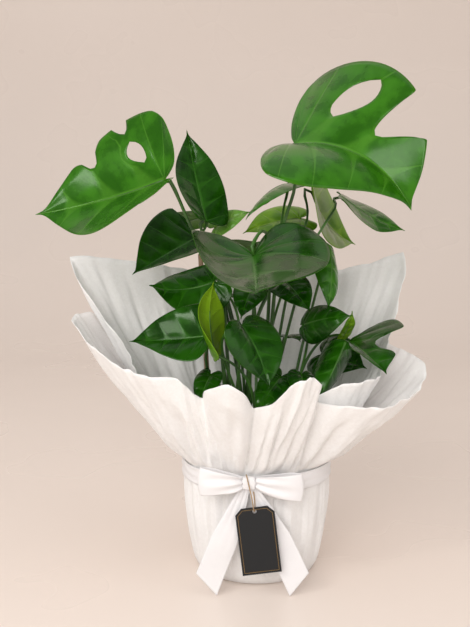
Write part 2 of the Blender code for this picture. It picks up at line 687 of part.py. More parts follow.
INNER_RIM = (
    (-110, 0.294, 0.431, -108), (-100, 0.250, 0.385, -100), (-92, 0.205, 0.340, -92),
    (-85, 0.175, 0.300, -84),
    (-70, 0.165, 0.270, -70), (-50, 0.150, 0.255, -50), (-32, 0.118, 0.235, -30), (-12, 0.150, 0.250, -14),
    (-3, 0.118, 0.232, -9), (10, 0.145, 0.245, 0), (20, 0.155, 0.262, 12), (30, 0.130, 0.262, 30),
    (38, 0.165, 0.284, 37), (50, 0.185, 0.287, 48), (64, 0.180, 0.290, 62), (76, 0.175, 0.305, 74),
    (88, 0.185, 0.330, 86), (98, 0.205, 0.375, 97), (115, 0.245, 0.438, 113), (125, 0.215, 0.420, 125),
    (138, 0.195, 0.408, 138), (155, 0.185, 0.400, 155), (172, 0.190, 0.392, 172), (190, 0.185, 0.398, 190),
    (208, 0.190, 0.405, 208), (225, 0.215, 0.415, 225), (240, 0.260, 0.428, 240),
)


def ribbon_azimuths():
    """The azimuths at the ribbon that both sheets share: one under each bend of a rim, others between."""
    marks = sorted({station[3] % 360 for station in OUTER_RIM + INNER_RIM})
    shared = []
    for mark in marks:
        if not shared or mark - shared[-1] > CLOSE_STATIONS:
            shared.append(mark)
    for start, end in list(zip(shared, shared[1:] + [shared[0] + 360])):
        if end - start > FAR_STATIONS:
            shared.append(0.5 * (start + end))
    return sorted(shared)


def rim_line(rim):
    """A sheet's rim as a smooth line of (azimuth, radius, height, azimuth at the ribbon), once round."""
    turn = Vector((360, 0, 0, 360))
    around = [Vector(station) for station in rim]
    knots = [around[-1] - turn] + around + [around[0] + turn, around[1] + turn]
    return smooth_through(knots, RIM_PARTS)[RIM_PARTS:-RIM_PARTS]


def rim_above(line, gathered):
    """The rim's azimuth, radius and height above one azimuth at the ribbon."""
    wanted = line[0][3] + (gathered - line[0][3]) % 360
    for start, end in zip(line, line[1:]):
        if wanted <= end[3]:
            share = (wanted - start[3]) / (end[3] - start[3])
            return start.lerp(end, share)[:3]
    return line[-1][:3]


def pleat(azimuth, height):
    """How far a sheet's pleats stand out below and at the ribbon."""
    deep = PLEAT_DEPTH * (1 - 0.35 * abs(height - BAND_LOW) / BAND_LOW)
    wander = 0.5 * sin(radians(3 * azimuth) + 1.0)
    return deep * sin(radians(PLEATS * azimuth) + wander) * (1 + 0.3 * sin(radians(5 * azimuth)))


def make_sheet(name, rim, step, collection, finish):
    """One sheet of wrap: under the pot, up its side in pleats, through the ribbon and out to its rim."""
    side = [(radius - step if radius else 0.0, height + SHEET_RISE * step) for radius, height in WRAP_SIDE]
    waist = CINCH_RADIUS - step
    side += [(waist, BAND_LOW), (waist, BAND_HIGH)]
    line = rim_line(rim)
    around = [(gathered, *rim_above(line, gathered)) for gathered in ribbon_azimuths()]
    rows = len(side) + FLARE_ROWS
    mesh = bmesh.new()
    bmesh.ops.create_grid(mesh, x_segments=len(around), y_segments=rows - 1, size=1.0)
    for vertex in mesh.verts:
        column = round((vertex.co.x + 1) / 2 * len(around)) % len(around)
        row = round((vertex.co.y + 1) / 2 * (rows - 1))
        gathered, azimuth, radius, height = around[column]
        if row < len(side):
            low_radius, low_height = side[row]
            fold = pleat(gathered, low_height) if row > 1 else 0.0
            vertex.co = at(gathered, low_radius + fold, low_height)
        else:
            share = (row - len(side) + 1) / FLARE_ROWS
            start = at(gathered, waist + pleat(gathered, BAND_HIGH), BAND_HIGH)
            end = at(azimuth, radius, height)
            spread = share ** FLARE_POWER
            place = start.lerp(end, spread)
            place.z = start.z + (end.z - start.z) * share
            vertex.co = place
    bmesh.ops.remove_doubles(mesh, verts=mesh.verts, dist=1e-6)
    bmesh.ops.recalc_face_normals(mesh, faces=mesh.faces)
    mesh.normal_update()
    if sum(face.normal.z for face in mesh.faces if face.calc_center_median().z < 0.004) > 0:
        bmesh.ops.reverse_faces(mesh, faces=mesh.faces)
    bmesh.ops.triangulate(mesh, faces=mesh.faces)
    sheet = object_from(name, mesh, finish, collection)
    solidify(sheet, SHEET)
    return sheet


def strip(name, rows, thickness, finish, collection):
    """A thin band from rows of points, each row going across it."""
    mesh = bmesh.new()
    bmesh.ops.create_grid(mesh, x_segments=len(rows) - 1, y_segments=len(rows[0]) - 1, size=1.0)
    for vertex in mesh.verts:
        i = round((vertex.co.x + 1) / 2 * (len(rows) - 1))
        j = round((vertex.co.y + 1) / 2 * (len(rows[0]) - 1))
        vertex.co = rows[i][j]
    bmesh.ops.recalc_face_normals(mesh, faces=mesh.faces)
    bmesh.ops.triangulate(mesh, faces=mesh.faces)
    made = object_from(name, mesh, finish, collection)
    solidify(made, thickness, 0.0)
    return made


def make_band(collection, finish):
    """The ribbon round the wrap's waist."""
    low, high = BAND_LOW + 0.001, BAND_HIGH - 0.001
    profile = [
        (BAND_RADIUS, high), (BAND_RADIUS + RIBBON, high), (BAND_RADIUS + RIBBON, low), (BAND_RADIUS, low),
    ]
    turned("ribbon_band", profile, finish, collection, sides=BAND_SIDES, closed=True)


def make_knot(collection, finish):
    """The bow's knot: a small pillow."""
    mesh = bmesh.new()
    bmesh.ops.create_uvsphere(mesh, u_segments=12, v_segments=8, radius=0.5)
    for vertex in mesh.verts:
        boxy = 0.5 / max(abs(c) for c in vertex.co)
        vertex.co = vertex.co.lerp(vertex.co * boxy, 0.45)
        vertex.co = Vector(c * size for c, size in zip(vertex.co, KNOT_SIZE)) + Vector(KNOT_CENTRE)
    object_from("bow_knot", mesh, finish, collection)


def make_loop(name, way, collection, finish):
    """One loop of the bow: out from the knot, round, and back behind itself."""
    index = 0 if way < 0 else 1
    reach, drop = LOOP_REACH[index], LOOP_DROP[index]
    start = KNOT_SIZE[0] / 2 + 0.5 * RIBBON
    near, far = LOOP_NEAR * reach, LOOP_FAR * reach
    route = [
        (start, LOOP_FRONT + 0.002), (near, LOOP_FRONT - 0.003), (far, LOOP_FRONT - 0.002),
        (reach, 0.5 * (LOOP_FRONT + LOOP_BACK)), (far, LOOP_BACK + 0.004), (near, LOOP_BACK),
        (start, LOOP_BACK),
    ]
    line = spaced(smooth_through([Vector((a, y, 0.0)) for a, y in route], 6), LOOP_ROWS)
    rows = []
    for point in line:
        share = max(0.0, (point.x - start) / (reach - start))
        height = LOOP_PINCH + (LOOP_HEIGHT - LOOP_PINCH) * share ** 0.7
        middle = KNOT_CENTRE[2] + drop * share
        x = KNOT_CENTRE[0] + way * point.x
        rows.append([Vector((x, point.y, middle + height * (j / 2 - 0.5))) for j in range(3)])
    strip(name, rows, RIBBON, finish, collection)


def make_tail(name, way, foot, collection, finish):
    """One tail of the bow: down from under the knot to the ground, cut to a slant."""
    foot = Vector(foot)
    x, _, z = KNOT_CENTRE
    top = Vector((x + way * 0.005, -BAND_RADIUS - RIBBON - 0.0003, z - KNOT_SIZE[2] / 2 + 0.0008))
    knots = [top, top.lerp(foot, 0.3) + Vector((0, -0.004, 0)), top.lerp(foot, 0.7), foot]
    line = spaced(smooth_through(knots, 6), TAIL_ROWS)
    rows = []
    for i, point in enumerate(line):
        share = i / TAIL_ROWS
        along = (line[min(i + 1, TAIL_ROWS)] - line[max(i - 1, 0)]).normalized()
        across = along.cross(Vector((0, 1, 0))).normalized()
        if across.x < 0:
            across = -across
        width = TAIL_PINCH + (TAIL_WIDTH - TAIL_PINCH) * min(1.0, 1.9 * share) ** 0.8
        shorter = TAIL_CUT * share ** 3
        rows.append([
            point + across * width * (j / 2 - 0.5) - along * shorter * (j / 2 if way > 0 else 1 - j / 2)
            for j in range(3)
        ])
    strip(name, rows, RIBBON, finish, collection)


def tag_place(across, down, ahead=0.0):
    """The point of the hanging tag at a distance across and down from the middle of its top edge."""
    lean = Matrix.Rotation(radians(-TAG_LEAN), 3, "Y")
    return Vector(TAG_TOP) + lean @ Vector((across, ahead, -down))


def make_tag(collection, finish):
    """The card tag, with its upper corners cut off and a hole for the string."""
    half = TAG_WIDTH / 2
    outline = [(-half + TAG_CORNER, 0), (half - TAG_CORNER, 0), (half, TAG_CORNER), (half, TAG_LENGTH),
               (-half, TAG_LENGTH), (-half, TAG_CORNER)]
    curve = bpy.data.curves.new("tag", "CURVE")
    curve.dimensions = "2D"
    curve.fill_mode = "BOTH"
    curve.extrude = TAG_CARD / 2
    card = curve.splines.new("POLY")
    card.points.add(len(outline) - 1)
    for point, (across, down) in zip(card.points, outline):
        point.co = (across, -down, 0, 1)
    card.use_cyclic_u = True
    hole = curve.splines.new("POLY")
    hole.points.add(TAG_HOLE_SIDES - 1)
    for i, point in enumerate(hole.points):
        turn = 2 * pi * i / TAG_HOLE_SIDES
        point.co = (TAG_HOLE_RADIUS * cos(turn), -TAG_HOLE + TAG_HOLE_RADIUS * sin(turn), 0, 1)
    hole.use_cyclic_u = True
    flat = object_of("tag_outline", curve, finish, collection)
    upright = Matrix.Rotation(radians(90), 4, "X")
    leaning = Matrix.Rotation(radians(-TAG_LEAN), 4, "Y")
    flat.matrix_world = Matrix.Translation(TAG_TOP) @ leaning @ upright
    object_of("tag", as_mesh(flat), finish, collection)
    bpy.data.objects.remove(flat)


def make_string(collection, finish):
    """The string: over the knot, down through the tag's hole and up again behind the tag."""
    x, y, z = KNOT_CENTRE
    front = y - KNOT_SIZE[1] / 2 - 1.4 * STRING_RADIUS
    top = z + KNOT_SIZE[2] / 2 + 1.4 * STRING_RADIUS
    route = [
        Vector((x - 0.0035, y + 0.001, top)), Vector((x - 0.003, y - 0.005, top)),
        Vector((x - 0.002, front, top - 0.004)),
        Vector((x, front - 0.0004, z - 0.002)), tag_place(-0.0012, -0.010, -0.0022),
        tag_place(-0.0008, TAG_HOLE - 0.0035, -0.0018), tag_place(0, TAG_HOLE, 0),
        tag_place(0.0010, TAG_HOLE - 0.0035, 0.0018), tag_place(0.0018, -0.008, 0.0022),
        Vector((x + 0.006, y - 0.002, z - KNOT_SIZE[2] / 2 - 2 * STRING_RADIUS)),
    ]
    line = spaced(smooth_through(route, 6), STRING_ROWS)
    tube("tag_string", line, [STRING_RADIUS] * len(line), STRING_SIDES, finish, collection)


def make_stake(collection, finish):
    """The cane that stands in the soil among the stems."""
    line = [Vector(STAKE_FOOT), Vector(STAKE_TOP)]
    tube("stake", line, [STAKE_RADIUS, STAKE_RADIUS], STAKE_SIDES, finish, collection)


def main():
    for old in list(bpy.data.objects):
        bpy.data.objects.remove(old)
    plant = bpy.data.collections.new("potted_swiss_cheese_plant")
    bpy.context.scene.collection.children.link(plant)
    green = material("leaf_green", GREEN, 0.3)
    stem = material("stalk_green", STEM_GREEN, 0.45)
    wrap = material("white_wrap", WHITE, 0.8)
    satin = material("white_satin", SATIN, 0.35)
    make_pot(plant, material("pot_brown", POT_BROWN, 0.5))
    holes = [(foot, STEM_RADIUS) for foot in SHOOTS.values()]
    buried = Vector(STAKE_FOOT).lerp(Vector(STAKE_TOP), 0.5 * STEM_DEPTH / (STAKE_TOP[2] - STAKE_FOOT[2]))
    holes.append((buried, STAKE_RADIUS + STAKE_ROOM))
    make_soil(plant, material("soil", SOIL_BROWN, 0.95), holes)
    make_sheet("wrap_outer", OUTER_RIM, 0.0, plant, wrap)
    make_sheet("wrap_inner", INNER_RIM, SHEET_STEP, plant, wrap)
    make_band(plant, satin)
    make_knot(plant, satin)
    make_loop("bow_loop_left", -1, plant, satin)
    make_loop("bow_loop_right", 1, plant, satin)
    make_tail("bow_tail_left", -1, TAIL_FEET[0], plant, satin)
    make_tail("bow_tail_right", 1, TAIL_FEET[1], plant, satin)
    make_tag(plant, material("black_card", BLACK, 0.6))
    make_string(plant, material("twine", TWINE, 0.8))
    make_stake(plant, material("cane", CANE, 0.7))
    for shoot, foot in SHOOTS.items():
        grown = [leaf for leaf in LEAVES if leaf.shoot == shoot]
        if grown:
            make_shoot(shoot, foot, grown, plant, stem)
    for leaf in LEAVES:
        make_leaf(leaf, plant, green)


main()
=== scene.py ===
"""The dressed model of a swiss cheese plant in a nursery pot, gathered in white wrap with a satin bow.

Metres, +Z up. The front faces -Y. Azimuths are in degrees from the front, growing towards +X.
"""

import logging
import random
from dataclasses import dataclass, field
from enum import Enum
from math import cos, pi, radians, sin, sqrt
from typing import Callable, Iterable, Optional, Sequence

import bmesh
import bpy
from mathutils import Matrix, Vector, noise


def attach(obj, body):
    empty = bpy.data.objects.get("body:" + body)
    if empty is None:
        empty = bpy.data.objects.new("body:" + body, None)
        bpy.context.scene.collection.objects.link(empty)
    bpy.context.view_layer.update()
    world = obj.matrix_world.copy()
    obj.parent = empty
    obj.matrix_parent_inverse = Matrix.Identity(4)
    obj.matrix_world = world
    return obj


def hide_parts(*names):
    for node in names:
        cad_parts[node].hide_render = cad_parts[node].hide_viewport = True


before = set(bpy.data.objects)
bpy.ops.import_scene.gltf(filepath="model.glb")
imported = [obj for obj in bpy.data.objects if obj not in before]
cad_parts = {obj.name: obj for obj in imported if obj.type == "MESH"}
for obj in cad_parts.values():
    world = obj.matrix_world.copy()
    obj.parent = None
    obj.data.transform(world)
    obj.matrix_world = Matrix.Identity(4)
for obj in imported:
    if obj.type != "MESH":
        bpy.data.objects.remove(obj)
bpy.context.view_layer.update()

LOG = logging.getLogger("plant")
Colour = tuple[float, float, float]
Socket = bpy.types.NodeSocket
Mesh = bmesh.types.BMesh
Piece = bpy.types.Object

SAME = 1e-6


# Geometry helpers


def at(azimuth: float, radius: float, height: float) -> Vector:
    """Returns the point at an azimuth in degrees, a radius and a height."""
    return Vector((radius * sin(radians(azimuth)), -radius * cos(radians(azimuth)), height))


def clamp(value: float, low: float = 0.0, high: float = 1.0) -> float:
    """Returns the value kept between low and high."""
    return min(max(value, low), high)


def ease(value: float, low: float, high: float) -> float:
    """Returns 0 below low, 1 above high and a smooth step between."""
    share = clamp((value - low) / (high - low))
    return share * share * (3 - 2 * share)


def smooth_through(points: Sequence[Vector], count: int) -> list[Vector]:
    """Draws one smooth open curve through points.

    Args:
        points: The points it passes.
        count: How many steps each span gets.

    Returns:
        The curve's points, the last one included.
    """
    last = len(points) - 1
    curve = []
    for i in range(last):
        before, start, end, after = (points[min(max(i + k - 1, 0), last)] for k in range(4))
        for j in range(count):
            u = j / count
            curve.append(0.5 * (
                2 * start + (end - before) * u + (2 * before - 5 * start + 4 * end - after) * u * u
                + (3 * start - before - 3 * end + after) * u ** 3
            ))
    curve.append(points[-1].copy())
    return curve


def spaced(points: Sequence[Vector], count: int) -> list[Vector]:
    """Divides a line through points evenly.

    Args:
        points: The line's corners.
        count: How many equal steps it gets.

    Returns:
        count + 1 points.
    """
    reach = [0.0]
    for start, end in zip(points, points[1:]):
        reach.append(reach[-1] + (end - start).length)
    even, i = [], 0
    for step in range(count + 1):
        wanted = reach[-1] * step / count
        while i < len(points) - 2 and reach[i + 1] < wanted:
            i += 1
        share = (wanted - reach[i]) / max(reach[i + 1] - reach[i], 1e-9)
        even.append(points[i].lerp(points[i + 1], clamp(share)))
    return even


def along_line(points: Sequence[Vector], share: float) -> Vector:
    """Returns the point at a share of an evenly spaced line.

    Args:
        points: The line's evenly spaced points.
        share: How far along it, from 0 to 1.

    Returns:
        The point.
    """
    place = clamp(share) * (len(points) - 1)
    i = min(int(place), len(points) - 2)
    return points[i].lerp(points[i + 1], place - i)


def arc(start: float, turn: float, distance: float) -> tuple[float, float]:
    """Follows a bend.

    Args:
        start: The angle above level at which it starts, in radians.
        turn: How fast the angle falls with distance.
        distance: How far it is followed.

    Returns:
        How far ahead and how far up it has come.
    """
    if abs(turn) < SAME:
        return distance * cos(start), distance * sin(start)
    end = start - turn * distance
    return (sin(start) - sin(end)) / turn, (cos(end) - cos(start)) / turn


def wobble(*place: float) -> float:
    """Returns smooth noise from about -1 to 1 at up to three coordinates."""
    return noise.noise(Vector((*place, 0.0, 0.0)[:3]))


def surface(
    columns: int, rows: int, place: Callable[[float, float], Vector], around: bool = False,
) -> Mesh:
    """Bends a grid into shape, with the grid's own shares as its UV map.

    Args:
        columns: How many faces it has along u.
        rows: How many faces it has along v.
        place: Gives the point for shares u and v, each from 0 to 1.
        around: Whether the first and the last column meet.

    Returns:
        The open or ring-shaped mesh.
    """
    mesh = bmesh.new()
    mesh.loops.layers.uv.new("weave")
    bmesh.ops.create_grid(mesh, x_segments=columns, y_segments=rows, size=1.0, calc_uvs=True)
    for vertex in mesh.verts:
        vertex.co = place((vertex.co.x + 1) / 2, (vertex.co.y + 1) / 2)
    if around:
        bmesh.ops.remove_doubles(mesh, verts=mesh.verts, dist=SAME)
    return mesh


def turn_out(mesh: Mesh, outward: Callable[[Vector], Vector]) -> None:
    """Turns every face over if most of the area faces the wrong way.

    Args:
        mesh: The mesh, whose faces agree with each other.
        outward: Gives the way out at a point.
    """
    mesh.normal_update()
    facing = sum(
        face.normal.dot(outward(face.calc_center_median())) * face.calc_area() for face in mesh.faces
    )
    if facing < 0:
        bmesh.ops.reverse_faces(mesh, faces=mesh.faces)


def tube(points: Sequence[Vector], radii: Sequence[float], sides: int) -> Mesh:
    """Sweeps a round section along a line and closes both ends.

    Args:
        points: The line that it follows.
        radii: The radius at each point.
        sides: How many faces it has round it.

    Returns:
        A closed mesh, u running along it and v round it.
    """
    frames = []
    across = Vector((1.0, 0.0, 0.0))
    for i, point in enumerate(points):
        along = (points[min(i + 1, len(points) - 1)] - points[max(i - 1, 0)]).normalized()
        if i == 0 and abs(along.x) > 0.9:
            across = Vector((0.0, 1.0, 0.0))
        across = (across - along * across.dot(along)).normalized()
        frames.append((point, across, along.cross(across)))

    def place(u: float, v: float) -> Vector:
        """Returns the point at a share along the line and a share round it.

        Args:
            u: The share along the line.
            v: The share round it.

        Returns:
            The point.
        """
        i = round(u * (len(points) - 1))
        point, side, other = frames[i]
        return point + (side * cos(2 * pi * v) + other * sin(2 * pi * v)) * radii[i]

    mesh = surface(len(points) - 1, sides, place, around=True)
    bmesh.ops.holes_fill(mesh, edges=[edge for edge in mesh.edges if edge.is_boundary], sides=0)
    bmesh.ops.recalc_face_normals(mesh, faces=mesh.faces)
    return mesh


def joined(meshes: Iterable[Mesh]) -> Mesh:
    """Puts several meshes together in one and frees them.

    Args:
        meshes: The meshes.

    Returns:
        The one mesh that holds them all.
    """
    whole = bmesh.new()
    whole.loops.layers.uv.new("weave")
    for mesh in meshes:
        data = bpy.data.meshes.new("part")
        mesh.to_mesh(data)
        mesh.free()
        whole.from_mesh(data)
        bpy.data.meshes.remove(data)
    return whole


def finished(
    name: str, mesh: Mesh, finishes: Sequence[bpy.types.Material], nodes: Sequence[str],
    thickness: float = 0.0, offset: float = -1.0, second: bool = False,
) -> Piece:
    """Makes a piece of the model from a mesh.

    Args:
        name: The piece's name.
        mesh: Its shape, which is freed.
        finishes: Its materials.
        nodes: The CAD nodes that it stands for.
        thickness: The wall it gets, or 0 for none.
        offset: Which side of the surface the wall lies on.
        second: Whether the wall's far side has the second finish.

    Returns:
        The piece.
    """
    for face in mesh.faces:
        face.smooth = True
    data = bpy.data.meshes.new(name)
    mesh.to_mesh(data)
    mesh.free()
    for finish in finishes:
        data.materials.append(finish)
    piece = bpy.data.objects.new(name, data)
    bpy.context.scene.collection.objects.link(piece)
    if thickness:
        wall = piece.modifiers.new("wall", "SOLIDIFY")
        wall.thickness = thickness
        wall.offset = offset
        wall.use_even_offset = False
        wall.material_offset = wall.material_offset_rim = int(second)
    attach(piece, "root")
    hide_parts(*nodes)
    LOG.info("%s: %d faces, stands for %s", name, len(data.polygons), ", ".join(nodes))
    return piece


# Shader helpers and shared effects


class Graph:
    """Wires the nodes of one material or node group."""

    def __init__(self, tree: bpy.types.NodeTree) -> None:
        """Keeps the tree that is wired."""
        self.tree = tree

    def node(self, kind: str, **settings: object) -> bpy.types.Node:
        """Adds a node and sets its own settings.

        Args:
            kind: The node's type.
            settings: Its own settings by name.

        Returns:
            The node.
        """
        made = self.tree.nodes.new(kind)
        for key, value in settings.items():
            setattr(made, key, value)
        return made

    def feed(self, socket: Socket, value: object) -> None:
        """Links a socket to an input, or sets the input's constant.

        Args:
            socket: The input.
            value: A socket, or a constant.
        """
        if isinstance(value, Socket):
            self.tree.links.new(value, socket)
        elif isinstance(value, tuple) and len(value) == 3 and socket.type == "RGBA":
            socket.default_value = (*value, 1.0)
        else:
            socket.default_value = value

    def math(self, operation: str, *values: object) -> Socket:
        """Returns the result of a Math node.

        Args:
            operation: The operation.
            values: Its inputs, sockets or constants.

        Returns:
            The result.
        """
        made = self.node("ShaderNodeMath", operation=operation)
        for socket, value in zip(made.inputs, values):
            self.feed(socket, value)
        return made.outputs[0]

    def step(self, value: Socket, low: object, high: object, start: float = 0.0, end: float = 1.0) -> Socket:
        """Returns a smooth step between low and high, going from start to end.

        Args:
            value: What is compared.
            low: Where the step starts.
            high: Where it ends.
            start: The result below low.
            end: The result above high.

        Returns:
            The result.
        """
        made = self.node("ShaderNodeMapRange", interpolation_type="SMOOTHSTEP")
        wanted = {"Value": value, "From Min": low, "From Max": high, "To Min": start, "To Max": end}
        for key, number in wanted.items():
            self.feed(made.inputs[key], number)
        return made.outputs["Result"]

    def mix(self, share: object, first: object, second: object) -> Socket:
        """Returns two colours mixed.

        Args:
            share: How much of the second.
            first: The first colour.
            second: The second colour.

        Returns:
            The mixed colour.
        """
        made = self.node("ShaderNodeMix", data_type="RGBA")
        for index, value in ((0, share), (6, first), (7, second)):
            self.feed(made.inputs[index], value)
        return made.outputs[2]

    def noise(self, place: Socket, scale: float, detail: float = 3.0, roughness: float = 0.5) -> Socket:
        """Returns a noise texture's value.

        Args:
            place: The coordinates.
            scale: How fine it is.
            detail: How many octaves it has.
            roughness: How strong the finer ones are.

        Returns:
            The value, from 0 to 1.
        """
        made = self.node("ShaderNodeTexNoise")
        for key, value in (("Vector", place), ("Scale", scale), ("Detail", detail), ("Roughness", roughness)):
            self.feed(made.inputs[key], value)
        return made.outputs["Fac"]

    def stretched(self, place: Socket, scale: tuple[float, float, float]) -> Socket:
        """Returns coordinates scaled on each axis.

        Args:
            place: The coordinates.
            scale: The scale on each axis.

        Returns:
            The scaled coordinates.
        """
        made = self.node("ShaderNodeMapping")
        self.feed(made.inputs["Vector"], place)
        made.inputs["Scale"].default_value = scale
        return made.outputs["Vector"]

    def object_place(self) -> Socket:
        """Returns the Object coordinates."""
        return self.node("ShaderNodeTexCoord").outputs["Object"]

    def uv(self, name: str) -> tuple[Socket, Socket]:
        """Returns the two coordinates of a UV map.

        Args:
            name: The UV map.

        Returns:
            Its two coordinates.
        """
        source = self.node("ShaderNodeUVMap", uv_map=name)
        split = self.node("ShaderNodeSeparateXYZ")
        self.feed(split.inputs[0], source.outputs["UV"])
        return split.outputs["X"], split.outputs["Y"]

    def effect(self, group: bpy.types.NodeTree, **values: object) -> bpy.types.NodeOutputs:
        """Places a shared effect with its own values and returns its outputs.

        Args:
            group: The shared effect.
            values: Its inputs by name.

        Returns:
            Its outputs.
        """
        made = self.node("ShaderNodeGroup")
        made.node_tree = group
        for key, value in values.items():
            self.feed(made.inputs[key.replace("_", " ")], value)
        return made.outputs


def effect_group(
    name: str, inputs: dict[str, float], outputs: Sequence[str],
) -> tuple[Graph, dict[str, Socket], Callable[[str, Socket], None]]:
    """Starts a shared effect.

    Args:
        name: The group's name.
        inputs: Its number inputs with their defaults.
        outputs: The names of the values that it puts out.

    Returns:
        The graph to wire, its inputs by name, and a function that feeds an output by name.
    """
    tree = bpy.data.node_groups.new(name, "ShaderNodeTree")
    for key, value in inputs.items():
        made = tree.interface.new_socket(name=key, in_out="INPUT", socket_type="NodeSocketFloat")
        made.default_value = value
    for key in outputs:
        tree.interface.new_socket(name=key, in_out="OUTPUT", socket_type="NodeSocketFloat")
    graph = Graph(tree)
    entry, way_out = graph.node("NodeGroupInput"), graph.node("NodeGroupOutput")

    def put(key: str, value: Socket) -> None:
        """Feeds one output."""
        graph.feed(way_out.inputs[key], value)

    return graph, {key: entry.outputs[key] for key in inputs}, put


def blade_pattern() -> bpy.types.NodeTree:
    """Builds the shared pattern of a blade: its midrib, side veins, streaks, margin and relief.

    Returns:
        The node group.
    """
    inputs = {"Veins": 7.0, "Vein Width": 0.012}
    outputs = ("Midrib", "Side", "Streaks", "Margin", "Relief")
    graph, given, put = effect_group("blade_pattern", inputs, outputs)
    along, out = graph.uv("rays")
    ahead, aside = graph.uv("blade")
    rib_width = graph.step(ahead, 0.0, 1.0, 0.030, 0.008)
    rib_core = graph.math("MULTIPLY", rib_width, 0.35)
    midrib = graph.math("SUBTRACT", 1.0, graph.step(aside, rib_core, rib_width))
    on_blade = graph.step(ahead, -0.02, 0.02)
    midrib = graph.math("MULTIPLY", midrib, on_blade)
    phase = graph.math("MULTIPLY", along, given["Veins"])
    nearest = graph.math("ABSOLUTE", graph.math("SUBTRACT", phase, graph.math("ROUND", phase)))
    distance = graph.math("DIVIDE", nearest, given["Veins"])
    spread = graph.math("ADD", graph.math("MULTIPLY", out, 1.2), 0.16)
    physical = graph.math("MULTIPLY", distance, spread)
    width = graph.math("MULTIPLY", given["Vein Width"], graph.step(out, 0.0, 1.0, 1.0, 0.35))
    side = graph.math("SUBTRACT", 1.0, graph.step(physical, graph.math("MULTIPLY", width, 0.25), width))
    source = graph.node("ShaderNodeUVMap", uv_map="rays").outputs["UV"]
    streaks = graph.noise(graph.stretched(source, (70.0, 5.0, 1.0)), 1.0, 4.0, 0.6)
    margin = graph.step(out, 0.975, 0.998)
    relief = graph.math("MULTIPLY", graph.math("MAXIMUM", midrib, graph.math("MULTIPLY", side, 0.55)), -1.0)
    relief = graph.math("ADD", relief, graph.math("MULTIPLY", streaks, 0.3))
    made = {"Midrib": midrib, "Side": side, "Streaks": streaks, "Margin": margin, "Relief": relief}
    for key, value in made.items():
        put(key, value)
    return graph.tree


def grain() -> bpy.types.NodeTree:
    """Builds the shared grain: two sizes of speckle on Object coordinates, and a relief.

    Returns:
        The node group.
    """
    inputs = {"Coarse": 60.0, "Fine": 900.0}
    graph, given, put = effect_group("grain", inputs, ("Patches", "Speckle", "Relief"))
    place = graph.object_place()
    patches = graph.noise(place, given["Coarse"], 3.0)
    speckle = graph.noise(place, given["Fine"], 2.0, 0.7)
    put("Patches", patches)
    put("Speckle", speckle)
    put("Relief", graph.math("ADD", graph.math("MULTIPLY", patches, 0.3), speckle))
    return graph.tree


def threads() -> bpy.types.NodeTree:
    """Builds the shared threads of a woven ribbon on its UV map: a fine rib across it and a relief.

    Returns:
        The node group.
    """
    inputs = {"Across": 300.0, "Along": 900.0}
    graph, given, put = effect_group("threads", inputs, ("Rib", "Relief"))
    u, v = graph.uv("weave")
    rib = graph.math("SINE", graph.math("MULTIPLY", v, given["Across"]))
    pick = graph.math("SINE", graph.math("MULTIPLY", u, given["Along"]))
    put("Rib", graph.math("ADD", graph.math("MULTIPLY", rib, 0.5), 0.5))
    put("Relief", graph.math("ADD", rib, graph.math("MULTIPLY", pick, 0.5)))
    return graph.tree


@dataclass(frozen=True)
class Effects:
    """The effects that several finishes share."""

    blade: bpy.types.NodeTree = field(default_factory=blade_pattern)
    grain: bpy.types.NodeTree = field(default_factory=grain)
    threads: bpy.types.NodeTree = field(default_factory=threads)


def shader_of(name: str, **constants: object) -> tuple[Graph, bpy.types.Node, bpy.types.Material]:
    """Starts a material.

    Args:
        name: The material's name.
        constants: Constants of the shader, the sockets' names with underscores.

    Returns:
        Its graph, its shader and the material.
    """
    made = bpy.data.materials.new(name)
    made.use_nodes = True
    graph = Graph(made.node_tree)
    shader = made.node_tree.nodes["Principled BSDF"]
    for key, value in constants.items():
        graph.feed(shader.inputs[key.replace("_", " ")], value)
    return graph, shader, made


def dress(
    graph: Graph, shader: bpy.types.Node, colour: Socket, rough: object, height: Socket, depth: float,
) -> None:
    """Feeds a shader's colour, roughness and relief.

    Args:
        graph: The material's graph.
        shader: Its shader.
        colour: The base colour.
        rough: The roughness.
        height: The relief's height.
        depth: How deep the relief is, in metres.
    """
    bump = graph.node("ShaderNodeBump")
    bump.inputs["Strength"].default_value = 1.0
    bump.inputs["Distance"].default_value = depth
    graph.feed(bump.inputs["Height"], height)
    graph.feed(shader.inputs["Base Color"], colour)
    graph.feed(shader.inputs["Roughness"], rough)
    graph.feed(shader.inputs["Normal"], bump.outputs["Normal"])


# Finishes


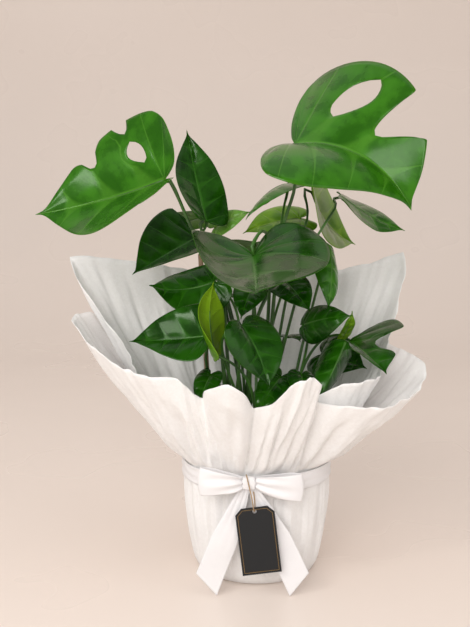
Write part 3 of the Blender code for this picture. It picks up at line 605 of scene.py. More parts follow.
@dataclass(frozen=True)
class LeafFinish:
    """A blade's two faces: the glossy upper one and the paler, duller underside."""

    name: str
    deep: Colour
    light: Colour
    vein: Colour
    under: Colour
    gloss: float = 0.30

    def upper(self, effects: Effects) -> bpy.types.Material:
        """Builds the upper face.

        Args:
            effects: The shared effects.

        Returns:
            The material.
        """
        graph, shader, made = shader_of(
            f"{self.name}_upper", Coat_Weight=0.45, Coat_Roughness=0.16, Specular_IOR_Level=0.3,
            Specular_Tint=(0.35, 0.8, 0.2),
        )
        marks = graph.effect(effects.blade)
        spots = graph.effect(effects.grain, Coarse=34.0, Fine=420.0)
        share = graph.math("MULTIPLY", graph.step(spots["Patches"], 0.36, 0.68), 0.75)
        share = graph.math("ADD", share, graph.math("MULTIPLY", marks["Streaks"], 0.3))
        colour = graph.mix(share, self.deep, self.light)
        colour = graph.mix(graph.math("MULTIPLY", marks["Side"], 0.5), colour, self.vein)
        colour = graph.mix(graph.math("MULTIPLY", marks["Midrib"], 0.8), colour, self.vein)
        colour = graph.mix(graph.math("MULTIPLY", marks["Margin"], 0.6), colour, self.under)
        rough = graph.step(spots["Patches"], 0.3, 0.75, self.gloss - 0.06, self.gloss + 0.10)
        dress(graph, shader, colour, rough, marks["Relief"], 0.0007)
        return made

    def lower(self, effects: Effects) -> bpy.types.Material:
        """Builds the underside.

        Args:
            effects: The shared effects.

        Returns:
            The material.
        """
        graph, shader, made = shader_of(
            f"{self.name}_under", Specular_IOR_Level=0.15, Specular_Tint=(0.4, 0.8, 0.1),
        )
        marks = graph.effect(effects.blade)
        share = graph.math("MULTIPLY", marks["Streaks"], 0.5)
        colour = graph.mix(share, self.under, self.light)
        colour = graph.mix(graph.math("MULTIPLY", marks["Side"], 0.5), colour, self.vein)
        colour = graph.mix(graph.math("MULTIPLY", marks["Midrib"], 0.9), colour, self.vein)
        rough = graph.step(marks["Streaks"], 0.3, 0.7, 0.42, 0.55)
        dress(graph, shader, colour, rough, graph.math("MULTIPLY", marks["Relief"], -1.0), 0.0009)
        return made


class LeafTone(Enum):
    """How old a blade is, and the light and shade painted into its colour: lit and shaded copies of one
    green.
    """

    # A copy of the green for the top blades, made lighter as painted light where the light falls.
    BRIGHT = LeafFinish(
        "leaf_painted_light", (0.012, 0.078, 0.001), (0.034, 0.165, 0.004),
        (0.065, 0.22, 0.014), (0.055, 0.17, 0.005), 0.27,
    )
    # The same green darkened: painted shade for the blades under the top ones.
    DEEP = LeafFinish(
        "leaf_painted_shade", (0.003, 0.027, 0.0005), (0.012, 0.080, 0.001),
        (0.024, 0.12, 0.005), (0.030, 0.11, 0.004), 0.27,
    )
    YOUNG = LeafFinish(
        "leaf_young", (0.060, 0.170, 0.003), (0.15, 0.30, 0.006),
        (0.20, 0.36, 0.020), (0.17, 0.31, 0.012), 0.34,
    )
    PALE = LeafFinish(
        "leaf_pale", (0.075, 0.20, 0.020), (0.16, 0.32, 0.055),
        (0.22, 0.38, 0.08), (0.14, 0.29, 0.02), 0.36,
    )


@dataclass(frozen=True)
class StalkFinish:
    """Smooth green stalks, browner and duller towards the soil."""

    green: Colour = (0.055, 0.17, 0.018)
    dark: Colour = (0.022, 0.070, 0.010)
    brown: Colour = (0.13, 0.075, 0.03)

    def build(self, effects: Effects) -> bpy.types.Material:
        """Builds the finish.

        Args:
            effects: The shared effects.

        Returns:
            The material.
        """
        graph, shader, made = shader_of("stalk", Coat_Weight=0.15, Coat_Roughness=0.3)
        place = graph.object_place()
        streaks = graph.noise(graph.stretched(place, (500.0, 500.0, 26.0)), 1.0, 3.0, 0.6)
        spots = graph.effect(effects.grain, Coarse=22.0, Fine=700.0)
        colour = graph.mix(graph.step(spots["Patches"], 0.35, 0.65), self.dark, self.green)
        split = graph.node("ShaderNodeSeparateXYZ")
        graph.feed(split.inputs[0], place)
        low = graph.step(split.outputs["Z"], 0.150, 0.225, 1.0, 0.0)
        colour = graph.mix(graph.math("MULTIPLY", low, streaks), colour, self.brown)
        dress(graph, shader, colour, graph.step(streaks, 0.3, 0.7, 0.34, 0.5), streaks, 0.0004)
        return made


@dataclass(frozen=True)
class WrapFinish:
    """Soft white non-woven wrap: short fibres laid every way, matte."""

    white: Colour = (0.93, 0.92, 0.91)
    warm: Colour = (0.885, 0.87, 0.855)

    def build(self, effects: Effects) -> bpy.types.Material:
        """Builds the finish.

        Args:
            effects: The shared effects.

        Returns:
            The material.
        """
        graph, shader, made = shader_of(
            "wrap", Sheen_Weight=0.2, Sheen_Roughness=0.5, Specular_IOR_Level=0.2,
            Subsurface_Weight=0.12, Subsurface_Radius=(1.0, 0.97, 0.94), Subsurface_Scale=0.02,
        )
        spots = graph.effect(effects.grain, Coarse=240.0, Fine=1800.0)
        place = graph.object_place()
        turned = graph.node("ShaderNodeMapping")
        graph.feed(turned.inputs["Vector"], place)
        turned.inputs["Rotation"].default_value = (0.6, 0.5, 0.9)
        turned.inputs["Scale"].default_value = (260.0, 2400.0, 1500.0)
        fibres = graph.noise(turned.outputs["Vector"], 1.0, 2.0, 0.6)
        share = graph.math("MULTIPLY", graph.math("ADD", spots["Patches"], fibres), 0.5)
        colour = graph.mix(graph.step(share, 0.35, 0.65), self.warm, self.white)
        relief = graph.math("ADD", fibres, graph.math("MULTIPLY", spots["Speckle"], 0.7))
        dress(graph, shader, colour, graph.step(fibres, 0.3, 0.7, 0.72, 0.88), relief, 0.00018)
        return made


@dataclass(frozen=True)
class SatinFinish:
    """White satin: fine threads, a soft directional gloss and a slight sheen, with a darker tone in random
    patches and as painted shade in the grooves between the threads.
    """

    white: Colour = (0.86, 0.85, 0.855)
    # The darker tone: random patches, and painted shade in the grooves between the threads.
    shade: Colour = (0.80, 0.785, 0.795)

    def build(self, effects: Effects) -> bpy.types.Material:
        """Builds the finish.

        Args:
            effects: The shared effects.

        Returns:
            The material.
        """
        graph, shader, made = shader_of(
            "satin", Sheen_Weight=0.2, Sheen_Roughness=0.35, Anisotropic=0.5, Specular_IOR_Level=0.7,
        )
        weave = graph.effect(effects.threads, Across=420.0, Along=1500.0)
        spots = graph.effect(effects.grain, Coarse=90.0, Fine=1500.0)
        patches = graph.math("MULTIPLY", spots["Patches"], 0.7)
        # Darker where the threads' rib dips, as painted shade, and in random patches.
        share = graph.math("ADD", graph.math("MULTIPLY", weave["Rib"], 0.3), patches)
        colour = graph.mix(share, self.shade, self.white)
        rough = graph.step(spots["Patches"], 0.3, 0.7, 0.30, 0.42)
        dress(graph, shader, colour, rough, weave["Relief"], 0.00003)
        return made


@dataclass(frozen=True)
class CardFinish:
    """Matte black card with a fine tooth and a thin plain gold line set in from its edge."""

    black: Colour = (0.012, 0.013, 0.014)
    worn: Colour = (0.030, 0.031, 0.033)
    gold: Colour = (0.42, 0.27, 0.10)
    inset: float = 0.0030
    line: float = 0.0003

    def build(self, effects: Effects, tag: "Tag") -> bpy.types.Material:
        """Builds the finish on the card's own outline.

        Args:
            effects: The shared effects.
            tag: The card, for its place, lean and outline.

        Returns:
            The material.
        """
        graph, shader, made = shader_of("card", Specular_IOR_Level=0.35)
        moved = graph.node("ShaderNodeVectorMath", operation="SUBTRACT")
        graph.feed(moved.inputs[0], graph.object_place())
        moved.inputs[1].default_value = tag.top
        turned = graph.node("ShaderNodeVectorRotate", rotation_type="Y_AXIS")
        graph.feed(turned.inputs["Vector"], moved.outputs["Vector"])
        turned.inputs["Angle"].default_value = radians(tag.lean)
        split = graph.node("ShaderNodeSeparateXYZ")
        graph.feed(split.inputs[0], turned.outputs["Vector"])
        down = graph.math("MULTIPLY", split.outputs["Z"], -1.0)
        side = graph.math("SUBTRACT", tag.width / 2, graph.math("ABSOLUTE", split.outputs["X"]))
        corner = graph.math("SUBTRACT", graph.math("ADD", down, side), tag.corner)
        corner = graph.math("MULTIPLY", corner, sqrt(0.5))
        foot = graph.math("SUBTRACT", tag.length, down)
        inside = graph.math("MINIMUM", graph.math("MINIMUM", side, corner), foot)
        inside = graph.math("MINIMUM", inside, down)
        off = graph.math("ABSOLUTE", graph.math("SUBTRACT", inside, self.inset))
        line = graph.step(off, 0.5 * self.line, 0.8 * self.line, 1.0, 0.0)
        spots = graph.effect(effects.grain, Coarse=400.0, Fine=3000.0)
        edge = graph.step(inside, 0.0, 0.0012, 1.0, 0.0)
        wear = graph.math("ADD", graph.math("MULTIPLY", edge, 0.6), 0.3)
        share = graph.math("MULTIPLY", spots["Speckle"], wear)
        colour = graph.mix(line, graph.mix(share, self.black, self.worn), self.gold)
        graph.feed(shader.inputs["Metallic"], graph.math("MULTIPLY", line, 0.9))
        rough = graph.step(spots["Speckle"], 0.2, 0.8, 0.55, 0.7)
        rough = graph.math("SUBTRACT", rough, graph.math("MULTIPLY", line, 0.25))
        dress(graph, shader, colour, rough, spots["Relief"], 0.00005)
        return made


@dataclass(frozen=True)
class TwineFinish:
    """Two-ply tan twine: its plies wind round it, with loose fibres between, and painted shade darkens the
    grooves between the plies.
    """

    pale: Colour = (0.50, 0.33, 0.17)
    # The darker colour: painted shade in the grooves between the plies, and darker loose fibres.
    dark: Colour = (0.20, 0.11, 0.045)
    turns: float = 46.0

    def build(self, effects: Effects) -> bpy.types.Material:
        """Builds the finish.

        Args:
            effects: The shared effects.

        Returns:
            The material.
        """
        graph, shader, made = shader_of("twine", Sheen_Weight=0.3)
        u, v = graph.uv("weave")
        phase = graph.math("ADD", graph.math("MULTIPLY", u, self.turns), graph.math("MULTIPLY", v, 2.0))
        ply = graph.math("ABSOLUTE", graph.math("SINE", graph.math("MULTIPLY", phase, pi)))
        spots = graph.effect(effects.grain, Coarse=900.0, Fine=5000.0)
        # Darker where the plies' relief dips, as painted shade in the grooves, with a speckle of loose
        # fibres.
        share = graph.math("MULTIPLY", ply, graph.math("ADD", spots["Speckle"], 0.4))
        colour = graph.mix(share, self.dark, self.pale)
        dress(graph, shader, colour, graph.step(ply, 0.0, 1.0, 0.95, 0.75), ply, 0.0004)
        return made


@dataclass(frozen=True)
class CaneFinish:
    """Dry cane: long fine streaks, paler where it is scuffed."""

    pale: Colour = (0.40, 0.27, 0.17)
    dark: Colour = (0.20, 0.12, 0.075)

    def build(self, effects: Effects) -> bpy.types.Material:
        """Builds the finish.

        Args:
            effects: The shared effects.

        Returns:
            The material.
        """
        graph, shader, made = shader_of("cane", Coat_Weight=0.1)
        streaks = graph.noise(graph.stretched(graph.object_place(), (900.0, 900.0, 18.0)), 1.0, 4.0, 0.6)
        spots = graph.effect(effects.grain, Coarse=70.0, Fine=1400.0)
        share = graph.math("MULTIPLY", graph.math("ADD", streaks, spots["Patches"]), 0.5)
        colour = graph.mix(graph.step(share, 0.35, 0.65), self.dark, self.pale)
        dress(graph, shader, colour, graph.step(streaks, 0.3, 0.7, 0.5, 0.7), streaks, 0.0005)
        return made


@dataclass(frozen=True)
class GrainyFinish:
    """A plain grainy finish, for the pot, the soil and its bits."""

    name: str
    dark: Colour
    light: Colour
    rough: float
    coarse: float
    fine: float
    depth: float

    def build(self, effects: Effects) -> bpy.types.Material:
        """Builds the finish.

        Args:
            effects: The shared effects.

        Returns:
            The material.
        """
        graph, shader, made = shader_of(self.name, Specular_IOR_Level=0.4)
        spots = graph.effect(effects.grain, Coarse=self.coarse, Fine=self.fine)
        share = graph.math("MULTIPLY", graph.math("ADD", spots["Patches"], spots["Speckle"]), 0.5)
        colour = graph.mix(graph.step(share, 0.35, 0.65), self.dark, self.light)
        rough = graph.step(spots["Speckle"], 0.3, 0.7, self.rough - 0.08, self.rough + 0.08)
        dress(graph, shader, colour, rough, spots["Relief"], self.depth)
        return made


POT_FINISH = GrainyFinish(
    "pot_plastic", (0.060, 0.026, 0.018), (0.12, 0.056, 0.040), 0.48, 120.0, 1600.0, 0.0001,
)
SOIL_FINISH = GrainyFinish(
    "potting_mix", (0.012, 0.007, 0.005), (0.065, 0.040, 0.025), 0.92, 260.0, 1500.0, 0.0016,
)
BARK_FINISH = GrainyFinish("bark", (0.045, 0.024, 0.013), (0.14, 0.082, 0.045), 0.9, 500.0, 2400.0, 0.0008)
PERLITE_FINISH = GrainyFinish("perlite", (0.50, 0.48, 0.44), (0.78, 0.76, 0.72), 0.85, 700.0, 3000.0, 0.0006)


# Leaves and stalks

BLADE = 0.0006
VEIN_SLANT = 0.5
LOBE_ROUNDING = 0.12
LOBE_DEPTH = 0.7
MARGIN_STEPS = 400
LOBE = 0.24

# Half of a blade's outline from the notch round the lobe to the tip: along its length, across its width
HALF_OUTLINE = (
    (0.0, 0.0), (-0.15, 0.14), (-0.24, 0.42), (-0.17, 0.76), (0.05, 1.0),
    (0.34, 0.95), (0.62, 0.68), (0.83, 0.31), (0.925, 0.12), (0.975, 0.04), (1.035, 0.0),
)


@dataclass(frozen=True)
class Cut:
    """A split or a hole between two side veins: its place along the margin, its two ends and its width."""

    along: float
    inner: float
    outer: float
    width: float


@dataclass(frozen=True)
class Leaf:
    """One blade: where its stalk joins it, where its tip is, which way it faces and how it bends."""

    name: str
    shoot: str
    base: tuple[float, float, float]
    tip: tuple[float, float, float]
    face: tuple[float, float, float]
    # By default a blade takes the darkened tone, with its painted shade.
    tone: LeafTone = LeafTone.DEEP
    width: float = 0.9
    sides: tuple[float, float] = (1.0, 1.0)
    lobe: float = LOBE
    bend: float = 30.0
    fold: tuple[float, float] = (12.0, 12.0)
    fold_tip: Optional[tuple[float, float]] = None
    curl: tuple[float, float] = (25.0, 25.0)
    back: float = 0.0
    twist: float = 0.0
    left: tuple[Cut, ...] = ()
    right: tuple[Cut, ...] = ()
    veins: int = 7
    pucker: float = 0.0010
    wave: float = 0.0016
    stalk: tuple[tuple[float, float, float], ...] = ()
    stalk_radius: float = 0.0016
    from_above: bool = False


@dataclass
class Blade:
    """The surface of one leaf: a flat outline with its cuts, over a bent midrib with two folded halves."""

    leaf: Leaf
    columns: int = 62
    rows: int = 22
    base: Vector = field(init=False)
    ahead: Vector = field(init=False)
    up: Vector = field(init=False)
    across: Vector = field(init=False)
    bend: float = field(init=False)
    length: float = field(init=False)
    half_width: float = field(init=False)
    margin: list[Vector] = field(init=False)
    seed: float = field(init=False)

    def __post_init__(self) -> None:
        """Works out the blade's own directions, its length and its flat margin."""
        leaf = self.leaf
        self.base = Vector(leaf.base)
        chord = Vector(leaf.tip) - self.base
        self.ahead = chord.normalized()
        face = Vector(leaf.face)
        self.up = (face - self.ahead * face.dot(self.ahead)).normalized()
        self.across = self.ahead.cross(self.up)
        self.bend = radians(leaf.bend)
        self.length = chord.length * (self.bend / 2) / sin(self.bend / 2)
        self.half_width = leaf.width * self.length / 2
        outline = [
            Vector((a * self.length * (leaf.lobe / LOBE if a < 0 else 1.0), b * self.half_width, 0.0))
            for a, b in HALF_OUTLINE
        ]
        self.margin = spaced(smooth_through(outline, 12), MARGIN_STEPS)
        self.seed = 37.0 * leaf.base[0] + 91.0 * leaf.base[2]

    def cuts(self, side: int) -> tuple[Cut, ...]:
        """Returns the cuts of one half."""
        return self.leaf.left if side < 0 else self.leaf.right

    def reach_of(self, side: int, cut: Cut) -> float:
        """Returns how far along the margin a cut still pushes the blade aside."""
        others = [other.along for other in self.cuts(side) if abs(other.along - cut.along) > SAME]
        return 0.5 * min(abs(cut.along - other) for other in others + [0.0, 1.0])

    def opened(self, side: int, along: float, out: float, lean: int) -> tuple[float, float]:
        """Opens the cuts.

        Args:
            side: The half, -1 or 1.
            along: A point's share of the margin.
            out: Its share of the way out from the midrib.
            lean: Which lip of a cut it is on, where it is on one.

        Returns:
            Where it goes, as the same two shares.
        """
        moved, kept = along, out
        for cut in self.cuts(side):
            share = 1 - abs(along - cut.along) / self.reach_of(side, cut)
            if share <= 0:
                continue
            way = lean if abs(along - cut.along) < SAME else (1 if along > cut.along else -1)
            if cut.inner < out < cut.outer or (cut.outer >= 1 and out > cut.inner):
                depth = (out - cut.inner) / (cut.outer - cut.inner)
                swell = sqrt(depth) if cut.outer >= 1 else sin(pi * depth) ** 0.7
                moved += way * share * swell * cut.width / 2
            if cut.outer >= 1 and cut.inner < LOBE_DEPTH:
                kept -= LOBE_ROUNDING * out ** 4 * share ** 2
        return moved, kept

    def flat(self, side: int, along: float, out: float) -> tuple[float, float]:
        """Returns how far ahead and across a point lies on the flat blade.

        Args:
            side: The half, -1 or 1.
            along: The share of the margin.
            out: The share of the way out.

        Returns:
            How far ahead and how far aside.
        """
        edge = along_line(self.margin, along)
        start = max(0.0, edge.x - VEIN_SLANT * edge.y)
        return start + (edge.x - start) * out, edge.y * out * self.leaf.sides[0 if side < 0 else 1]

    def frame(self, ahead: float) -> tuple[Vector, Vector, Vector, Vector]:
        """Returns the midrib's point at a distance, with its own ahead, across and up directions.

        Args:
            ahead: How far along the midrib, below 0 for the lobes.

        Returns:
            The point, and the directions ahead, across and up.
        """
        half = self.bend / 2
        share = ahead / self.length
        turn = self.bend if share >= 0 else radians(self.leaf.back) / self.leaf.lobe
        forward, rise = arc(half, turn, share)
        angle = half - turn * share
        point = self.base + (self.ahead * forward + self.up * rise) * self.length
        along = self.ahead * cos(angle) + self.up * sin(angle)
        up = self.up * cos(angle) - self.ahead * sin(angle)
        roll = Matrix.Rotation(radians(self.leaf.twist) * max(share, 0.0), 3, along)
        return point, along, roll @ self.across, roll @ up

    def relief(self, side: int, along: float, out: float) -> float:
        """Returns how far the blade stands up: puckered between its side veins, waved at its margin.

        Args:
            side: The half, -1 or 1.
            along: The share of the margin.
            out: The share of the way out.

        Returns:
            The height.
        """
        leaf = self.leaf
        between = abs(sin(pi * leaf.veins * along)) ** 0.7
        pucker = leaf.pucker * between * ease(out, 0.05, 0.35) * (1 - ease(out, 0.75, 1.0))
        place = 5.0 * along + 3.1 * side + self.seed
        wave = leaf.wave * out * out * wobble(place, self.seed) * ease(along, 0.0, 0.12)
        return pucker + wave + 0.0012 * out * wobble(2.2 * along + side, 2.0 * out, self.seed)

    def place(self, side: int, along: float, out: float) -> Vector:
        """Returns the point in space for a share along one half's margin and a share of the way out.

        Args:
            side: The half, -1 or 1.
            along: The share of the margin.
            out: The share of the way out.

        Returns:
            The point.
        """
        leaf = self.leaf
        ahead, aside = self.flat(side, along, out)
        point, _, across, up = self.frame(ahead)
        index = 0 if side < 0 else 1
        share = clamp(ahead / self.length)
        tip = (leaf.fold_tip or leaf.fold)[index]
        fold = radians(leaf.fold[index] + (tip - leaf.fold[index]) * share)
        sideways, rise = arc(fold, radians(leaf.curl[index]) / self.half_width, aside)
        return point + across * side * sideways + up * (rise + self.relief(side, along, out))

    def stations(self) -> list[float]:
        """Returns shares along the margin from the notch to the tip, one of them at each cut.

        Returns:
            The shares, from 0 to 1.
        """
        marks = [0.0] + sorted({cut.along for cut in self.leaf.left + self.leaf.right}) + [1.0]
        shares = [0.0]
        for start, end in zip(marks, marks[1:]):
            parts = max(2, round((end - start) * self.columns))
            shares += [start + (end - start) * (i + 1) / parts for i in range(parts)]
        return shares

    def mesh(self) -> Mesh:
        """Builds the upper face as an open mesh, its two halves joined along the midrib.

        Returns:
            The mesh, with UV maps for its side veins ("rays") and its flat shape ("blade").
        """
        shares = self.stations()
        across = [share - 1 for share in shares] + [1 - share for share in reversed(shares)][1:]
        mesh = bmesh.new()
        mesh.loops.layers.uv.new("rays")
        bmesh.ops.create_grid(mesh, x_segments=len(across) - 1, y_segments=self.rows, size=1.0)
        for vertex in mesh.verts:
            column = round((vertex.co.x + 1) / 2 * (len(across) - 1))
            row = round((vertex.co.y + 1) / 2 * self.rows)
            vertex.co = (across[column], row / self.rows, 0.0)
        for side in (-1, 1):
            for cut in self.cuts(side):
                self.split(mesh, side * (1 - cut.along), cut)
        flat = mesh.loops.layers.uv.new("blade")
        rays = mesh.loops.layers.uv["rays"]
        placed = {}
        for vertex in mesh.verts:
            x, out = vertex.co.x, vertex.co.y
            side = -1 if x < 0 else 1
            middles = [face.calc_center_median().x for face in vertex.link_faces]
            lean = 0
            if min(middles) > x or max(middles) < x:
                lean = -side if min(middles) > x else side
            along, kept = self.opened(side, 1 - abs(x), out, lean)
            ahead, aside = self.flat(side, along, kept)
            placed[vertex] = self.place(side, along, kept)
            for loop in vertex.link_loops:
                half = -1 if loop.face.calc_center_median().x < 0 else 1
                loop[rays].uv = (half * (1 - abs(x)), out)
                loop[flat].uv = (ahead / self.length, aside / self.length)
        for vertex, point in placed.items():
            vertex.co = point
        bmesh.ops.remove_doubles(mesh, verts=mesh.verts, dist=SAME)
        turn_out(mesh, lambda point: self.up)
        return mesh

    def split(self, mesh: Mesh, x: float, cut: Cut) -> None:
        """Cuts the grid open along one column, between a cut's two ends.

        Args:
            mesh: The flat grid.
            x: The column's place.
            cut: The cut.
        """
        room = 0.5 / self.rows
        low, high = cut.inner - room, cut.outer + room
        edges = [
            edge for edge in mesh.edges
            if all(abs(corner.co.x - x) < SAME and low < corner.co.y < high for corner in edge.verts)
        ]
        bmesh.ops.split_edges(mesh, edges=edges)

    def seat(self) -> tuple[Vector, Vector]:
        """Returns where the stalk's end meets the blade, and the direction in which it arrives.

        Returns:
            The place and the direction.
        """
        leaf = self.leaf
        if leaf.from_above:
            point, ahead, _, up = self.frame(0.0)
            return point - ahead * 0.6 * leaf.stalk_radius, (ahead - 1.5 * up).normalized()
        point, ahead, _, up = self.frame(2 * leaf.stalk_radius)
        return point - up * 0.7 * leaf.stalk_radius, (up + 0.7 * ahead).normalized()

    def rib(self, share: float) -> Vector:
        """Returns a point just under the midrib at a share of its length."""
        point, _, _, up = self.frame(share * self.length)
        return point - up * BLADE


@dataclass(frozen=True)
class Shoot:
    """One stem in the soil and the stalks that grow from it."""

    name: str
    foot: tuple[float, float, float]
    radius: float = 0.0085
    top_radius: float = 0.0045
    depth: float = 0.035
    rise: float = 0.045
    flare: float = 1.5
    lift: float = 0.45
    reach: float = 0.35
    end: float = 0.012
    parts: int = 34
    sides: int = 12
    sheath: float = 0.9
    knee: float = 0.32
    rib: float = 0.62
    rib_step: float = 0.08
    rib_steps: int = 8
    stem_parts: int = 26
    stem_sides: int = 20
    ring: float = 0.0006
    ring_gap: float = 0.013

    def root(self, index: int, count: int) -> Vector:
        """Returns the place in the stem from which one of its stalks grows."""
        return Vector(self.foot) + at(index * 360 / count, 0.0025, 0.004 + 0.035 * index / count)

    def line(self, blade: Blade, root: Vector) -> list[Vector]:
        """Draws a stalk.

        Args:
            blade: The blade that it carries.
            root: Where it starts.

        Returns:
            Evenly spaced points from the root to the blade.
        """
        leaf = blade.leaf
        seat, arrival = blade.seat()
        span = (seat - root).length
        if leaf.stalk:
            knots = [root] + [Vector(point) for point in leaf.stalk] + [seat - arrival * self.end, seat]
            return spaced(smooth_through(knots, 10), self.parts)
        lift = root + Vector((0, 0, self.lift * span))
        reach = seat - arrival * self.reach * span
        line = []
        for i in range(self.parts + 1):
            u = i / self.parts
            v = 1 - u
            line.append(root * v ** 3 + lift * 3 * u * v ** 2 + reach * 3 * u ** 2 * v + seat * u ** 3)
        return line

    def stalk(self, leaf: Leaf, index: int, count: int) -> Mesh:
        """Builds one stalk: sheathed at its foot, swollen below the blade, running on under the midrib.

        Args:
            leaf: The leaf that it carries.
            index: Its number on the shoot.
            count: How many stalks the shoot has.

        Returns:
            The closed mesh.
        """
        blade = Blade(leaf)
        line = self.line(blade, self.root(index, count))
        radii = []
        for i in range(len(line)):
            share = i / (len(line) - 1)
            sheath = (self.flare - 1) * (1 - share) + self.sheath * (1 - ease(share, 0.08, 0.34))
            knee = self.knee * ease(share, 0.90, 0.96) * (1 - 0.6 * ease(share, 0.98, 1.0))
            radii.append(leaf.stalk_radius * (1 + sheath + knee))
        if not leaf.from_above:
            for step in range(1, self.rib_steps + 1):
                share = self.rib_step * step
                line.append(blade.rib(share))
                radii.append(leaf.stalk_radius * self.rib * (1 - share) + 0.0002)
        return tube(line, radii, self.sides)

    def stem(self) -> Mesh:
        """Builds the stem: a short ringed cone with its foot in the soil.

        Returns:
            The closed mesh.
        """
        foot = Vector(self.foot)
        line, radii = [], []
        for i in range(self.stem_parts + 1):
            share = i / self.stem_parts
            height = -self.depth + (self.depth + self.rise) * share
            ring = self.ring * max(0.0, cos(2 * pi * height / self.ring_gap)) ** 6
            line.append(foot + Vector((0.0006 * wobble(9 * share, foot.x * 60), 0.0, height)))
            radii.append(self.radius + (self.top_radius - self.radius) * share + ring)
        return tube(line, radii, self.stem_sides)

    def build(self, leaves: Sequence[Leaf], finish: bpy.types.Material) -> Piece:
        """Builds the shoot with its stalks as one piece.

        Args:
            leaves: The leaves that it carries.
            finish: Its material.

        Returns:
            The piece.
        """
        parts = [self.stem()] + [self.stalk(leaf, i, len(leaves)) for i, leaf in enumerate(leaves)]
        name = f"stems_{self.name}"
        return finished(f"{name}_dressed", joined(parts), [finish], [name])


@dataclass(frozen=True)
class Foliage:
    """All the leaves, on their shoots."""

    shoots: tuple[Shoot, ...]
    leaves: tuple[Leaf, ...]

    def build(self, effects: Effects) -> None:
        """Builds and dresses every shoot and blade.

        Args:
            effects: The shared effects.
        """
        stalk = StalkFinish().build(effects)
        tones = {}
        for tone in LeafTone:
            tones[tone] = [tone.value.upper(effects), tone.value.lower(effects)]
        for shoot in self.shoots:
            shoot.build([leaf for leaf in self.leaves if leaf.shoot == shoot.name], stalk)
        for leaf in self.leaves:
            mesh = Blade(leaf).mesh()
            finished(
                f"{leaf.name}_blade", mesh, tones[leaf.tone], [leaf.name],
                thickness=BLADE, second=True,
            )


SHOOTS = (
    Shoot("left", (-0.034, -0.012, 0.146)),
    Shoot("front", (-0.004, -0.040, 0.146)),
    Shoot("right", (0.040, -0.016, 0.146)),
    Shoot("centre", (0.006, 0.008, 0.146)),
    Shoot("back", (-0.012, 0.050, 0.146)),
)

